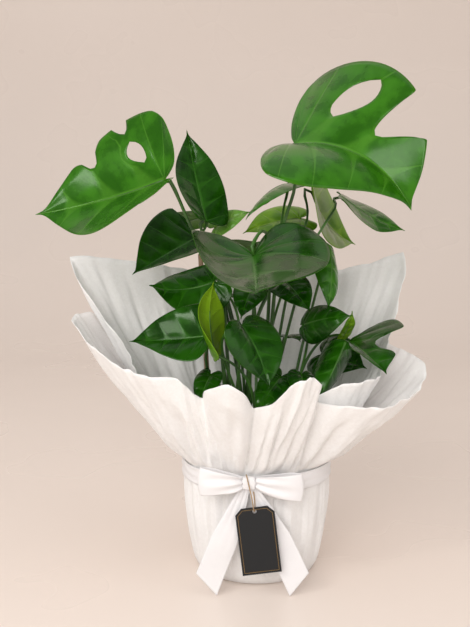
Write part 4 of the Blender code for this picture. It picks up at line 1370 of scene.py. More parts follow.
LEAVES: tuple[Leaf, ...] = (
    Leaf("leaf_top_right", "centre", tone=LeafTone.BRIGHT,
         base=(0.050, -0.022, 0.588), tip=(0.193, -0.078, 0.507), face=(0.6, -0.3, 0.75),
         width=1.55, lobe=0.08, bend=70, fold=(40, 5), fold_tip=(88, -8), curl=(2, 38), twist=8,
         stalk_radius=0.0021,
         left=(Cut(0.57, 0.36, 0.86, 0.09), Cut(0.715, 0.36, 1.0, 0.12)),
         stalk=((0.030, 0.000, 0.44), (0.050, -0.016, 0.53))),
    Leaf("leaf_top_left", "left", tone=LeafTone.BRIGHT,
         base=(-0.122, -0.050, 0.541), tip=(-0.297, 0.000, 0.496), face=(-0.4, -0.8, 0.45),
         width=1.08, lobe=0.22, bend=-20, fold=(35, 23), fold_tip=(10, 18), curl=(-17, 19), back=-40,
         stalk_radius=0.0021,
         stalk=((-0.056, 0.004, 0.38), (-0.067, 0.004, 0.43), (-0.089, -0.036, 0.48)),
         right=(Cut(0.53, 0.33, 0.67, 0.08), Cut(0.53, 0.83, 1.0, 0.07), Cut(0.70, 0.66, 1.0, 0.07))),
    Leaf("leaf_upright", "left", tone=LeafTone.DEEP,
         base=(-0.069, -0.035, 0.487), tip=(-0.096, 0.024, 0.607), face=(0.75, -0.5, 0.4),
         width=0.58, lobe=0.04, bend=-4, fold=(20, 20), curl=(10, 15), twist=-60,
         stalk=((-0.046, 0.004, 0.38), (-0.058, -0.004, 0.43))),
    Leaf("leaf_left_high", "back",
         base=(-0.087, 0.069, 0.460), tip=(-0.171, 0.018, 0.413), face=(-0.15, -0.5, 0.85),
         width=1.13, lobe=0.10, bend=4, fold=(20, 30), curl=(5, -5), back=-14,
         stalk=((-0.035, 0.050, 0.34), (-0.066, 0.074, 0.42))),
    Leaf("leaf_heart", "centre", tone=LeafTone.DEEP,
         base=(-0.006, -0.074, 0.443), tip=(-0.007, -0.225, 0.410), face=(-0.17, -0.2, 0.97),
         width=1.25, lobe=0.31, bend=-28, fold=(23, -6), curl=(40, -85), back=-12, twist=-14,
         stalk_radius=0.002, from_above=True,
         stalk=((0.018, 0.020, 0.38), (0.020, 0.000, 0.452), (0.006, -0.044, 0.474))),
    Leaf("leaf_low_heart", "front", tone=LeafTone.DEEP,
         base=(-0.021, -0.103, 0.356), tip=(0.012, -0.127, 0.282), face=(0.85, -0.25, 0.45),
         width=1.09, lobe=0.10, bend=24, fold=(26, 11), curl=(5, 50), back=10, twist=38),
    Leaf("leaf_left_mid", "left", tone=LeafTone.DEEP,
         base=(-0.0595, -0.039, 0.4055), tip=(-0.140, -0.061, 0.4025), face=(0.15, -0.63, 0.76),
         width=0.94, lobe=0.24, bend=-54, fold=(-12, 4), curl=(32, 20)),
    Leaf("leaf_left_low", "left", tone=LeafTone.DEEP,
         base=(-0.068, -0.083, 0.3395), tip=(-0.1645, -0.081, 0.332), face=(-0.04, -0.96, 0.27),
         width=0.89, lobe=0.10, bend=-48, fold=(49, 9), curl=(16, 22), twist=5,
         stalk=((-0.058, -0.030, 0.25), (-0.069, -0.056, 0.305))),
    Leaf("leaf_folded", "front", tone=LeafTone.YOUNG,
         base=(-0.0545, -0.096, 0.313), tip=(-0.058, -0.089, 0.408), face=(-0.97, 0.23, 0.0),
         width=0.83, lobe=0.04, bend=32, fold=(12, 8), curl=(16, 65), twist=-54),
    Leaf("leaf_right_mid", "right", tone=LeafTone.DEEP,
         base=(0.061, -0.048, 0.349), tip=(0.119, -0.084, 0.366), face=(-0.56, -0.67, 0.49),
         width=0.84, lobe=0.22, bend=37, fold=(-9, -11), curl=(21, 52), back=33),
    Leaf("leaf_right_young", "right", tone=LeafTone.YOUNG,
         base=(0.1175, -0.013, 0.326), tip=(0.1295, -0.023, 0.3635), face=(0.63, -0.7, -0.3),
         width=0.57, lobe=0.04, bend=42, fold=(9, 12), curl=(15, 20), twist=-13),
    Leaf("leaf_right_split", "right",
         base=(0.1245, -0.030, 0.324), tip=(0.160, -0.117, 0.298), face=(-0.1, -0.33, 0.94),
         width=1.49, sides=(1.0, 0.22), lobe=0.04, bend=19, fold=(15, 20), curl=(8, 0), back=15,
         left=(Cut(0.66, 0.35, 1.0, 0.26),)),
    Leaf("leaf_right_low", "right",
         base=(0.1145, -0.080, 0.332), tip=(0.077, -0.114, 0.262), face=(0.26, -0.87, 0.42),
         width=0.86, lobe=0.04, bend=19, fold=(-40, -36), curl=(26, 55), back=10, twist=-10,
         stalk=((0.070, -0.038, 0.26), (0.100, -0.066, 0.300))),
    Leaf("leaf_right_dark", "right",
         base=(0.0975, 0.036, 0.294), tip=(0.148, -0.028, 0.287), face=(-0.3, -0.7, 0.6),
         width=0.9, bend=20),
    Leaf("leaf_behind_left", "centre", tone=LeafTone.BRIGHT,
         base=(0.0425, 0.040, 0.538), tip=(-0.014, -0.022, 0.491), face=(-0.23, -0.45, 0.86),
         width=0.77, lobe=0.06, bend=45, fold=(12, -35), curl=(20, 20), back=24, twist=11,
         stalk=((0.028, 0.016, 0.42), (0.038, 0.034, 0.500))),
    Leaf("leaf_behind_pale", "centre", tone=LeafTone.YOUNG,
         base=(0.079, 0.050, 0.529), tip=(0.1485, 0.118, 0.450), face=(0.8, -0.13, 0.58),
         width=1.09, lobe=0.24, bend=-40, fold=(30, 0), curl=(10, 22),
         stalk=((0.050, 0.020, 0.42), (0.072, 0.034, 0.490))),
    Leaf("leaf_behind_right", "centre", tone=LeafTone.BRIGHT,
         base=(0.118, 0.033, 0.522), tip=(0.207, 0.036, 0.473), face=(0.47, -0.28, 0.84),
         width=0.89, lobe=0.04, bend=-19, fold=(-5, -5), curl=(15, -25), back=15, twist=30,
         stalk=((0.068, -0.002, 0.43), (0.086, -0.010, 0.472), (0.108, 0.006, 0.505))),
    Leaf("leaf_hanging", "right", tone=LeafTone.BRIGHT,
         base=(0.100, -0.002, 0.453), tip=(0.094, -0.047, 0.372), face=(0.5, -0.77, 0.4),
         width=0.65, lobe=0.04, bend=36, fold=(-22, 3), curl=(50, 22), back=16, twist=16,
         stalk=((0.060, -0.008, 0.30), (0.088, 0.003, 0.41))),
    Leaf("leaf_inner_left", "front",
         base=(-0.007, -0.034, 0.398), tip=(-0.022, -0.074, 0.362), face=(-0.1, -0.8, 0.6),
         width=0.8),
    Leaf("leaf_inner_right", "centre",
         base=(0.038, -0.022, 0.405), tip=(0.068, -0.066, 0.370), face=(0.1, -0.8, 0.6),
         width=0.85),
    Leaf("leaf_foot_left", "front",
         base=(-0.0625, -0.066, 0.284), tip=(-0.078, -0.096, 0.250), face=(-0.2, -0.75, 0.6),
         width=0.75),
    Leaf("leaf_foot_centre", "front",
         base=(0.030, -0.070, 0.282), tip=(-0.003, -0.108, 0.243), face=(-0.2, -0.75, 0.6),
         width=0.7),
    Leaf("leaf_small_top", "left", tone=LeafTone.PALE,
         base=(-0.056, 0.010, 0.478), tip=(-0.010, 0.006, 0.498), face=(0.0, -0.7, 0.7),
         width=0.75),
    Leaf("leaf_back_high", "back", tone=LeafTone.YOUNG,
         base=(0.065, 0.090, 0.488), tip=(-0.016, 0.070, 0.468), face=(-0.2, -0.6, 0.75),
         width=0.85,
         stalk=((-0.002, 0.052, 0.33), (0.040, 0.060, 0.42))),
    Leaf("leaf_back_left", "back", tone=LeafTone.BRIGHT,
         base=(-0.075, 0.125, 0.490), tip=(-0.150, 0.190, 0.450), face=(-0.2, 0.4, 0.9),
         width=1.0, bend=35,
         stalk=((-0.048, 0.056, 0.38), (-0.079, 0.090, 0.45))),
    Leaf("leaf_back_centre", "back", tone=LeafTone.BRIGHT,
         base=(0.000, 0.095, 0.452), tip=(-0.005, 0.200, 0.405), face=(0.0, 0.5, 0.85),
         width=1.15, lobe=0.28, bend=40),
    Leaf("leaf_back_right", "back",
         base=(0.060, 0.095, 0.420), tip=(0.105, 0.165, 0.415), face=(0.1, 0.3, 0.95),
         width=1.0, bend=35,
         stalk=((-0.008, 0.064, 0.30), (0.022, 0.084, 0.38))),
    Leaf("leaf_back_low", "back",
         base=(-0.040, 0.092, 0.372), tip=(-0.078, 0.142, 0.362), face=(-0.2, 0.3, 0.95),
         width=1.0, bend=35),
    Leaf("leaf_back_foot", "back",
         base=(0.040, 0.050, 0.318), tip=(0.068, 0.098, 0.304), face=(0.1, 0.4, 0.9),
         width=0.95, bend=35),
    Leaf("leaf_inner_low", "front",
         base=(0.058, -0.070, 0.285), tip=(0.056, -0.102, 0.255), face=(0.2, -0.6, 0.8),
         width=0.9),
)


# Wrap and ribbon

Station = tuple[float, float, float, float]


def body_tucks() -> tuple[tuple[float, float, float, float], ...]:
    """Returns the short sharp tucks under the ribbon: azimuth, depth, half width in degrees, length.

    Returns:
        The tucks, once round.
    """
    chance = random.Random(5)
    tucks = []
    for i in range(34):
        place = (360 * (i + chance.uniform(-0.4, 0.4)) / 34, chance.uniform(0.0010, 0.0026))
        tucks.append((*place, chance.uniform(1.1, 2.6), chance.uniform(0.025, 0.095)))
    return tuple(tucks)


@dataclass(frozen=True)
class Sheet:
    """One square of wrap, gathered up round the pot, through the ribbon and out to its rim.

    The rim's stations go once round: azimuth, radius, height, azimuth at the ribbon.
    """

    name: str
    node: str
    rim: tuple[Station, ...]
    step: float
    seed: float
    thickness: float = 0.0005
    rise: float = 0.55
    band: tuple[float, float] = (0.134, 0.159)
    waist: float = 0.1010
    pleats: int = 17
    pleat_depth: float = 0.0022
    flare_power: float = 0.8
    crisp: float = 0.7
    side: tuple[tuple[float, float], ...] = (
        (0.0, 0.0), (0.080, 0.0), (0.0845, 0.006), (0.0925, 0.035), (0.0995, 0.085),
    )
    valleys: tuple[Station, ...] = ()
    tucks: tuple[Station, ...] = field(default_factory=body_tucks)
    cut: float = 0.66
    columns: int = 420
    low_rows: int = 26
    flare_rows: int = 30

    def pleat(self, azimuth: float, height: float) -> float:
        """Returns how far the pleats stand out below and at the ribbon.

        Args:
            azimuth: Where, in degrees.
            height: How high up.

        Returns:
            The distance.
        """
        low = self.band[0]
        deep = self.pleat_depth * (1 - 0.35 * abs(height - low) / low)
        wander = 0.5 * sin(radians(3 * azimuth) + 1.0)
        return deep * sin(radians(self.pleats * azimuth) + wander) * (1 + 0.3 * sin(radians(5 * azimuth)))

    def creases(self, azimuth: float, height: float) -> float:
        """Returns the sharp fine folds that both sheets share below the ribbon.

        Args:
            azimuth: Where, in degrees.
            height: How high up.

        Returns:
            The distance outwards.
        """
        turn = radians(azimuth)
        around = (cos(turn), sin(turn))
        calm = 1 - 0.5 * ease(height, 0.118, 0.134)
        fine = 0.0
        for scale, climb, size in ((5.0, 6.0, 0.0017), (11.0, 9.0, 0.0011), (24.0, 16.0, 0.0005)):
            value = wobble(around[0] * scale, around[1] * scale + height * climb, height * climb * 0.8)
            fine += size * (0.5 - 2.2 * abs(value))
        for place, depth, wide, long in self.tucks:
            off = abs((azimuth - place + 180) % 360 - 180) / wide
            if off < 1:
                fine -= depth * (1 - off) * (1 - ease(self.band[0] - height, 0.3 * long, long))
        return fine * calm * ease(height, 0.002, 0.02)

    def flutes(self, gathered: float, share: float) -> float:
        """Returns the creases of the flare, which run out from the ribbon and die away to the rim.

        Args:
            gathered: The azimuth at the ribbon.
            share: How far up the flare.

        Returns:
            The distance, along the sheet's normal.
        """
        turn = radians(gathered)
        around = (cos(turn), sin(turn))
        total = 0.0
        for scale, size, fade in ((7.0, 0.0058, 0.45), (15.0, 0.0036, 0.60), (33.0, 0.0014, 0.75)):
            value = wobble(around[0] * scale + self.seed, around[1] * scale, share * 1.6 + self.seed)
            total += size * (0.45 - 2.0 * abs(value)) * (1 - fade * share)
        for place, depth, wide, reach in self.valleys:
            off = abs((gathered - place + 180) % 360 - 180) / wide
            if off < 1:
                total -= depth * (1 - off) * (1 - ease(share, 0.5 * reach, reach))
        crumple = 0.0011 * wobble(around[0] * 20 + self.seed, around[1] * 20, share * 9.0)
        return (total + crumple) * ease(share, 0.0, 0.16)

    def rim_line(self) -> list[Vector]:
        """Returns the rim as a smooth line of azimuth, radius, height and azimuth at the ribbon.

        Returns:
            The line's points, a little more than once round.
        """
        turn = Vector((360, 0, 0, 360))
        around = [Vector(station) for station in self.rim]
        knots = [around[-1] - turn] + around + [around[0] + turn, around[1] + turn]
        smooth = smooth_through(knots, 10)
        straight = [start.lerp(end, i / 10) for start, end in zip(knots, knots[1:]) for i in range(10)]
        sharp = [soft.lerp(hard, self.crisp) for soft, hard in zip(smooth, straight + [knots[-1]])]
        return sharp[10:-10]

    def mesh(self) -> Mesh:
        """Builds the sheet's outer face as one open mesh.

        Returns:
            The mesh.
        """
        line = self.rim_line()
        low, high = self.band
        waist = self.waist - self.step
        side = [Vector((r - self.step if r else 0.0, z + self.rise * self.step, 0.0)) for r, z in self.side]
        side = side[:2] + smooth_through(side[1:] + [Vector((waist, low, 0.0))], 6)[1:]
        profile = spaced(side + [Vector((waist, high, 0.0))], self.low_rows)
        rows = self.low_rows + self.flare_rows
        above = {}
        for column in range(self.columns + 1):
            gathered = line[0][3] + 360 * column / self.columns
            above[column] = (gathered, self.rim_above(line, gathered))

        def place(u: float, v: float) -> Vector:
            """Returns the point at a share round and a share up the sheet.

            Args:
                u: The share round.
                v: The share up.

            Returns:
                The point.
            """
            column, row = round(u * self.columns), round(v * rows)
            gathered, (azimuth, radius, height) = above[column]
            if row <= self.low_rows:
                reach, rise, _ = profile[row]
                stand = self.pleat(gathered, rise) * ease(reach, 0.082, 0.088) if reach else 0.0
                stand += self.creases(gathered, rise) * ease(reach, 0.078, 0.086)
                return at(gathered, reach + stand, rise)
            share = (row - self.low_rows) / self.flare_rows
            start = at(gathered, waist + self.pleat(gathered, high) + self.creases(gathered, high), high)
            end = at(azimuth, radius, height)
            point = start.lerp(end, share ** self.flare_power)
            point.z = start.z + (end.z - start.z) * share
            slope = (end - start).normalized()
            out = Vector((slope.x, slope.y, 0.0)).normalized()
            normal = (Vector((0, 0, 1)) * out.dot(slope) - out * slope.z).normalized()
            return point - normal * self.flutes(gathered, share)

        mesh = surface(self.columns, rows, place, around=True)
        turn_out(mesh, lambda point: Vector((point.x, point.y, -0.05 - 0.4 * point.z)))
        return mesh

    def rim_above(self, line: Sequence[Vector], gathered: float) -> tuple[float, float, float]:
        """Returns the rim's azimuth, radius and height above one azimuth at the ribbon.

        Args:
            line: The rim.
            gathered: The azimuth at the ribbon.

        Returns:
            The rim's azimuth, radius and height.
        """
        wanted = line[0][3] + (gathered - line[0][3]) % 360
        for start, end in zip(line, line[1:]):
            if wanted <= end[3]:
                share = (wanted - start[3]) / (end[3] - start[3])
                return tuple(start.lerp(end, share)[:3])
        return tuple(line[-1][:3])

    def build(self, finish: bpy.types.Material, rests_on: Sequence[str]) -> Piece:
        """Builds the sheet.

        Args:
            finish: Its material.
            rests_on: What holds it; not used.

        Returns:
            The piece.
        """
        piece = finished(
            self.name, self.mesh(), [finish], [self.node], thickness=self.thickness,
        )
        return piece


@dataclass(frozen=True)
class Bow:
    """The satin ribbon: its band round the wrap, and a bow with two loops, a knot and two tails."""

    band: tuple[float, float] = (0.135, 0.158)
    band_radius: float = 0.1047
    knot_centre: tuple[float, float, float] = (-0.012, -0.1104, 0.1515)
    knot_size: tuple[float, float, float] = (0.020, 0.011, 0.019)
    reach: tuple[float, float] = (0.066, 0.071)
    drop: tuple[float, float] = (0.003, -0.006)
    height: float = 0.037
    pinch: float = 0.013
    front: float = -0.1160
    back: float = -0.1090
    tail_width: float = 0.036
    tail_pinch: float = 0.010
    tail_cut: float = 0.018
    feet: tuple[tuple[float, float, float], ...] = ((-0.0705, -0.1150, 0.0075), (0.0580, -0.1150, 0.0075))
    satin: float = 0.0004
    band_steps: tuple[int, int] = (300, 20)
    loop_steps: tuple[int, int] = (84, 26)
    tail_steps: tuple[int, int] = (72, 20)
    behind: float = -0.1125

    def band_mesh(self) -> Mesh:
        """Builds the ribbon round the waist, crumpled into lengthwise folds.

        Returns:
            The open mesh.
        """

        def place(u: float, v: float) -> Vector:
            """Returns the point at a share round and a share up the band.

            Args:
                u: The share round.
                v: The share up.

            Returns:
                The point.
            """
            turn = 2 * pi * u
            x, y = 2.2 * cos(turn), 2.2 * sin(turn)
            fold = 0.0007 * sin(2 * pi * (2.2 * v + 0.5 * wobble(x, y))) * (0.6 + wobble(x, y, 3.0))
            height = self.band[0] + (self.band[1] - self.band[0]) * v
            height += 0.0008 * wobble(x, y, 7.0) * (2 * v - 1)
            return at(360 * u, self.band_radius + max(fold, -0.0003), height)

        mesh = surface(*self.band_steps, place, around=True)
        turn_out(mesh, lambda point: Vector((point.x, point.y, 0.0)))
        return mesh

    def knot_mesh(self) -> Mesh:
        """Builds the knot: a small tight pillow with the ribbon's folds running up it.

        Returns:
            The closed mesh.
        """
        mesh = bmesh.new()
        mesh.loops.layers.uv.new("weave")
        bmesh.ops.create_uvsphere(mesh, u_segments=56, v_segments=40, radius=0.5, calc_uvs=True)
        for vertex in mesh.verts:
            boxy = 0.5 / max(abs(c) for c in vertex.co)
            ball = vertex.co.lerp(vertex.co * boxy, 0.45)
            x, y, z = ball
            fold = sin(17 * x + 5 * z + 2.4 * sin(6 * z))
            ball *= 1 + 0.045 * fold * (1 - abs(2 * z) ** 3 * 0.5) - 0.05
            vertex.co = Vector(c * size for c, size in zip(ball, self.knot_size)) + Vector(self.knot_centre)
        return mesh

    def loop_mesh(self, way: int) -> Mesh:
        """Builds one loop: out from the knot, round, and back behind itself.

        Args:
            way: -1 for the left one, 1 for the right one.

        Returns:
            The open mesh.
        """
        index = 0 if way < 0 else 1
        reach, drop = self.reach[index], self.drop[index]
        start = self.knot_size[0] / 2 - 0.0016
        near, far = 0.35 * reach, 0.8 * reach
        route = [
            (start, self.front + 0.0035), (near, self.front - 0.003), (far, self.front - 0.002),
            (reach, 0.5 * (self.front + self.back)), (far, self.back + 0.003), (near, self.back),
            (start, self.back + 0.001),
        ]
        count = self.loop_steps[0]
        line = spaced(smooth_through([Vector((a, y, 0.0)) for a, y in route], 10), count)

        def place(u: float, v: float) -> Vector:
            """Returns the point at a share along the loop and a share across the ribbon.

            Args:
                u: The share along the loop.
                v: The share across the ribbon.

            Returns:
                The point.
            """
            point = line[round(u * count)]
            share = clamp((point.x - start) / (reach - start))
            tall = self.pinch + (self.height - self.pinch) * share ** 0.6
            middle = self.knot_centre[2] + drop * share
            gather = (1 - share) ** 1.3
            across = v - 0.5
            fold = 0.0022 * gather * sin(2 * pi * (2.1 * across + 0.35 * way + 0.8 * u))
            fold += 0.0011 * sin(pi * share) * sin(2 * pi * (1.1 * across + 0.6 * u) + way)
            crown = 0.0016 * (1 - 4 * across * across) * sin(pi * clamp(share))
            inner = 1 if u > 0.5 else -1
            lip = 0.0012 * wobble(6 * u, 3.0 * v, 5.0 + way) * share
            return Vector((
                self.knot_centre[0] + way * (point.x - 0.003 * share * (2 * across) ** 2),
                point.y + inner * crown + (fold if u < 0.5 else -0.35 * fold),
                middle + tall * across + lip,
            ))

        mesh = surface(*self.loop_steps, place)
        turn_out(mesh, lambda point: Vector((0.0, -1.0 if point.y < self.behind else 1.0, 0.0)))
        return mesh

    def tail_mesh(self, way: int) -> Mesh:
        """Builds one tail: down from under the knot to the ground, cut to a slant.

        Args:
            way: -1 for the left one, 1 for the right one.

        Returns:
            The open mesh.
        """
        foot = Vector(self.feet[0 if way < 0 else 1])
        x, _, z = self.knot_centre
        top = Vector((x + way * 0.004, -0.1062, z - self.knot_size[2] / 2 + 0.0045))
        knots = [top, top.lerp(foot, 0.3) + Vector((0, -0.004, 0)), top.lerp(foot, 0.7), foot]
        count = self.tail_steps[0]
        line = spaced(smooth_through(knots, 14), count)

        def place(u: float, v: float) -> Vector:
            """Returns the point at a share down the tail and a share across it.

            Args:
                u: The share down the tail.
                v: The share across it.

            Returns:
                The point.
            """
            i = round(u * count)
            along = (line[min(i + 1, count)] - line[max(i - 1, 0)]).normalized()
            across = along.cross(Vector((0, 1, 0))).normalized()
            if across.x < 0:
                across = -across
            width = self.tail_pinch + (self.tail_width - self.tail_pinch) * min(1.0, 1.9 * u) ** 0.8
            shorter = self.tail_cut * u ** 3
            side = v - 0.5
            gather = (1 - u) ** 2.2
            fold = 0.0024 * gather * sin(2 * pi * (1.6 * side + 0.2 * way))
            sway = 0.0022 * sin(pi * u) * sin(2 * pi * (0.8 * u + 0.35 * side) + 1.5 * way)
            lean = v if way > 0 else 1 - v
            point = line[i] + across * width * side - along * shorter * lean
            return point + Vector((0.0, -abs(fold) * 0.6 - 0.8 * sway - 0.0007, 0.0))

        mesh = surface(*self.tail_steps, place)
        turn_out(mesh, lambda point: Vector((0.0, -1.0, 0.0)))
        return mesh

    def build(self, finish: bpy.types.Material) -> None:
        """Builds the band, the knot, the loops and the tails.

        Args:
            finish: The satin.
        """
        pieces = [(self.band_mesh(), "ribbon_band", (0.024, 0.66), "wrap_outer_sheet")]
        for way, word in ((-1, "left"), (1, "right")):
            pieces.append((self.loop_mesh(way), f"bow_loop_{word}", (0.036, 0.130), "bow_knot_satin"))
            pieces.append((self.tail_mesh(way), f"bow_tail_{word}", (0.036, 0.155), "bow_knot_satin"))
        knot = finished("bow_knot_satin", self.knot_mesh(), [finish], ["bow_knot"])
        for mesh, node, flat, holder in pieces:
            piece = finished(
                f"{node}_satin", mesh, [finish], [node], thickness=self.satin, offset=0.0,
            )


@dataclass(frozen=True)
class Tag:
    """The blank card tag, which keeps its solid, and the twine that it hangs by."""

    width: float = 0.051
    length: float = 0.090
    corner: float = 0.0085
    hole: float = 0.0055
    lean: float = 7.0
    top: tuple[float, float, float] = (-0.0055, -0.1205, 0.1225)
    twine: float = 0.0008

    def place(self, across: float, down: float, ahead: float = 0.0) -> Vector:
        """Returns the point at a distance across, down from and in front of the middle of the top edge."""
        turned = Matrix.Rotation(radians(-self.lean), 3, "Y")
        return Vector(self.top) + turned @ Vector((across, ahead, -down))

    def route(self, bow: Bow) -> list[Vector]:
        """Returns the twine's line: over the knot, down through the hole and up behind the card.

        Args:
            bow: The bow, whose knot it goes over.

        Returns:
            Evenly spaced points.
        """
        x, y, z = bow.knot_centre
        _, deep, tall = bow.knot_size
        front = y - deep / 2 - 1.4 * self.twine
        top = z + tall / 2 + 1.4 * self.twine
        knots = [
            Vector((x - 0.0035, y + 0.001, top)), Vector((x - 0.003, y - 0.005, top)),
            Vector((x - 0.002, front, top - 0.004)),
            Vector((x, front - 0.0004, z - 0.002)), self.place(-0.0012, -0.010, -0.0022),
            self.place(-0.0008, self.hole - 0.0035, -0.0018), self.place(0, self.hole, 0),
            self.place(0.0010, self.hole - 0.0035, 0.0018), self.place(0.0018, -0.008, 0.0022),
            Vector((x + 0.006, y - 0.002, z - tall / 2 - 2 * self.twine)),
        ]
        return spaced(smooth_through(knots, 10), 110)

    def build(self, effects: Effects, bow: Bow) -> None:
        """Dresses the card and builds the twine.

        Args:
            effects: The shared effects.
            bow: The bow, whose knot the twine goes over.
        """
        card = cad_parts["tag"]
        card.data.materials.clear()
        card.data.materials.append(CardFinish().build(effects, self))
        route = self.route(bow)
        mesh = tube(route, [self.twine] * len(route), 12)
        piece = finished("tag_twine", mesh, [TwineFinish().build(effects)], ["tag_string"])


@dataclass(frozen=True)
class Pot:
    """The nursery pot, its soil with bark and perlite, and the cane."""

    soil_top: float = 0.146
    mound: float = 0.004
    soil_radius: float = 0.0868
    soil_low_radius: float = 0.0712
    soil_low: float = 0.0052
    cane_foot: tuple[float, float, float] = (-0.062, 0.016, 0.112)
    cane_top: tuple[float, float, float] = (-0.078, 0.014, 0.440)
    cane_radius: float = 0.0042
    crumbs: int = 420
    crumb_spread: float = 0.083
    top_rows: int = 40
    side_rows: int = 5
    columns: int = 120
    cane_parts: int = 90
    cane_rings: tuple[float, ...] = (0.18, 0.47, 0.76)

    def soil_height(self, x: float, y: float) -> float:
        """Returns the soil's height at a place.

        Args:
            x: The place along X.
            y: The place along Y.

        Returns:
            The height.
        """
        share = clamp(sqrt(x * x + y * y) / self.soil_radius)
        rough = 0.0012 * wobble(90 * x, 90 * y) + 0.0007 * wobble(260 * x, 260 * y, 4.0)
        return self.soil_top + self.mound * (1 - share * share) + rough * (1 - ease(share, 0.9, 1.0)) - 0.001

    def soil_mesh(self) -> Mesh:
        """Builds the body of soil with its crumbly top.

        Returns:
            The closed mesh.
        """
        rows = self.top_rows + self.side_rows

        def place(u: float, v: float) -> Vector:
            """Returns the point at a share round and a share from the top's middle to the bottom's.

            Args:
                u: The share round.
                v: The share from the top's middle to the bottom's.

            Returns:
                The point.
            """
            row = round(v * rows)
            if row <= self.top_rows:
                spot = at(360 * u, self.soil_radius * row / self.top_rows, 0.0)
                spot.z = self.soil_height(spot.x, spot.y)
                return spot
            share = (row - self.top_rows) / (self.side_rows - 1)
            if share > 1:
                return Vector((0.0, 0.0, self.soil_low))
            radius = self.soil_radius + (self.soil_low_radius - self.soil_radius) * share
            height = self.soil_top - 0.001 + (self.soil_low - self.soil_top + 0.001) * share
            return at(360 * u, radius, height)

        mesh = surface(self.columns, rows, place, around=True)
        turn_out(mesh, lambda point: Vector((point.x, point.y, point.z - 0.07)))
        return mesh

    def crumb_mesh(self, size: tuple[float, float], count: int, seed: int) -> Mesh:
        """Scatters small broken lumps over the soil.

        Args:
            size: The smallest and the largest radius.
            count: How many there are.
            seed: What the chance starts from.

        Returns:
            All of them in one mesh.
        """
        chance = random.Random(seed)
        mesh = bmesh.new()
        mesh.loops.layers.uv.new("weave")
        for _ in range(count):
            radius = self.crumb_spread * sqrt(chance.random())
            spot = at(chance.uniform(0, 360), radius, 0.0)
            spot.z = self.soil_height(spot.x, spot.y) + 0.0002
            lump = bmesh.ops.create_icosphere(mesh, subdivisions=1, radius=chance.uniform(*size))
            squash = Vector((chance.uniform(0.7, 1.5), chance.uniform(0.6, 1.1), chance.uniform(0.4, 0.8)))
            turned = Matrix.Rotation(chance.uniform(0, 2 * pi), 3, "Z")
            for vertex in lump["verts"]:
                jitter = 1 + chance.uniform(-0.18, 0.18)
                vertex.co = turned @ Vector(c * s * jitter for c, s in zip(vertex.co, squash)) + spot
        return mesh

    def cane_mesh(self) -> Mesh:
        """Builds the cane, with its rings and a slight wander.

        Returns:
            The closed mesh.
        """
        foot, top = Vector(self.cane_foot), Vector(self.cane_top)
        line, radii = [], []
        for i in range(self.cane_parts + 1):
            share = i / self.cane_parts
            point = foot.lerp(top, share)
            wander = Vector((0.0005 * wobble(5 * share), 0.0005 * wobble(5 * share, 9.0), 0.0))
            point += wander * ease(share, 0, 0.2)
            ring = 0.0006 * sum(max(0.0, 1 - abs(share - place) * 90) for place in self.cane_rings)
            line.append(point)
            radii.append(self.cane_radius * (1 - 0.08 * share) - 0.0004 + ring)
        return tube(line, radii, 24)

    def build(self, effects: Effects) -> None:
        """Dresses the pot and builds the soil, its bits and the cane.

        Args:
            effects: The shared effects.
        """
        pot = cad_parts["pot"]
        pot.data.materials.clear()
        pot.data.materials.append(POT_FINISH.build(effects))
        finished("soil_body", self.soil_mesh(), [SOIL_FINISH.build(effects)], ["soil"])
        bark = self.crumb_mesh((0.0012, 0.0030), self.crumbs, 11)
        finished("soil_bark", bark, [BARK_FINISH.build(effects)], ["soil"])
        perlite = self.crumb_mesh((0.0008, 0.0017), self.crumbs // 6, 29)
        finished("soil_perlite", perlite, [PERLITE_FINISH.build(effects)], ["soil"])
        finished("stake_cane", self.cane_mesh(), [CaneFinish().build(effects)], ["stake"])


# Deep creases of the outer sheet's flare: azimuth at the ribbon, depth, half width in degrees, reach
OUTER_VALLEYS: tuple[Station, ...] = (
    (-62, 0.0050, 4.0, 0.8), (-48, 0.0060, 4.5, 0.9), (-36, 0.0045, 3.0, 0.7), (-26, 0.0050, 3.0, 0.6),
    (-15, 0.0060, 2.6, 0.8), (-9, 0.0050, 2.4, 1.2), (-3, 0.0050, 2.4, 0.7), (4, 0.0065, 3.0, 0.9),
    (15, 0.0045, 2.6, 0.7), (24, 0.0045, 3.0, 0.6), (30, 0.0060, 2.8, 1.1), (38, 0.0055, 3.0, 0.8),
    (52, 0.0050, 4.0, 0.8), (68, 0.0045, 4.0, 0.7), (100, 0.0045, 4.0, 0.8), (131, 0.0050, 4.0, 0.8),
    (165, 0.0050, 4.0, 0.8), (190, 0.0050, 4.0, 0.9), (215, 0.0050, 4.0, 0.8), (246, 0.0050, 4.0, 0.8),
)

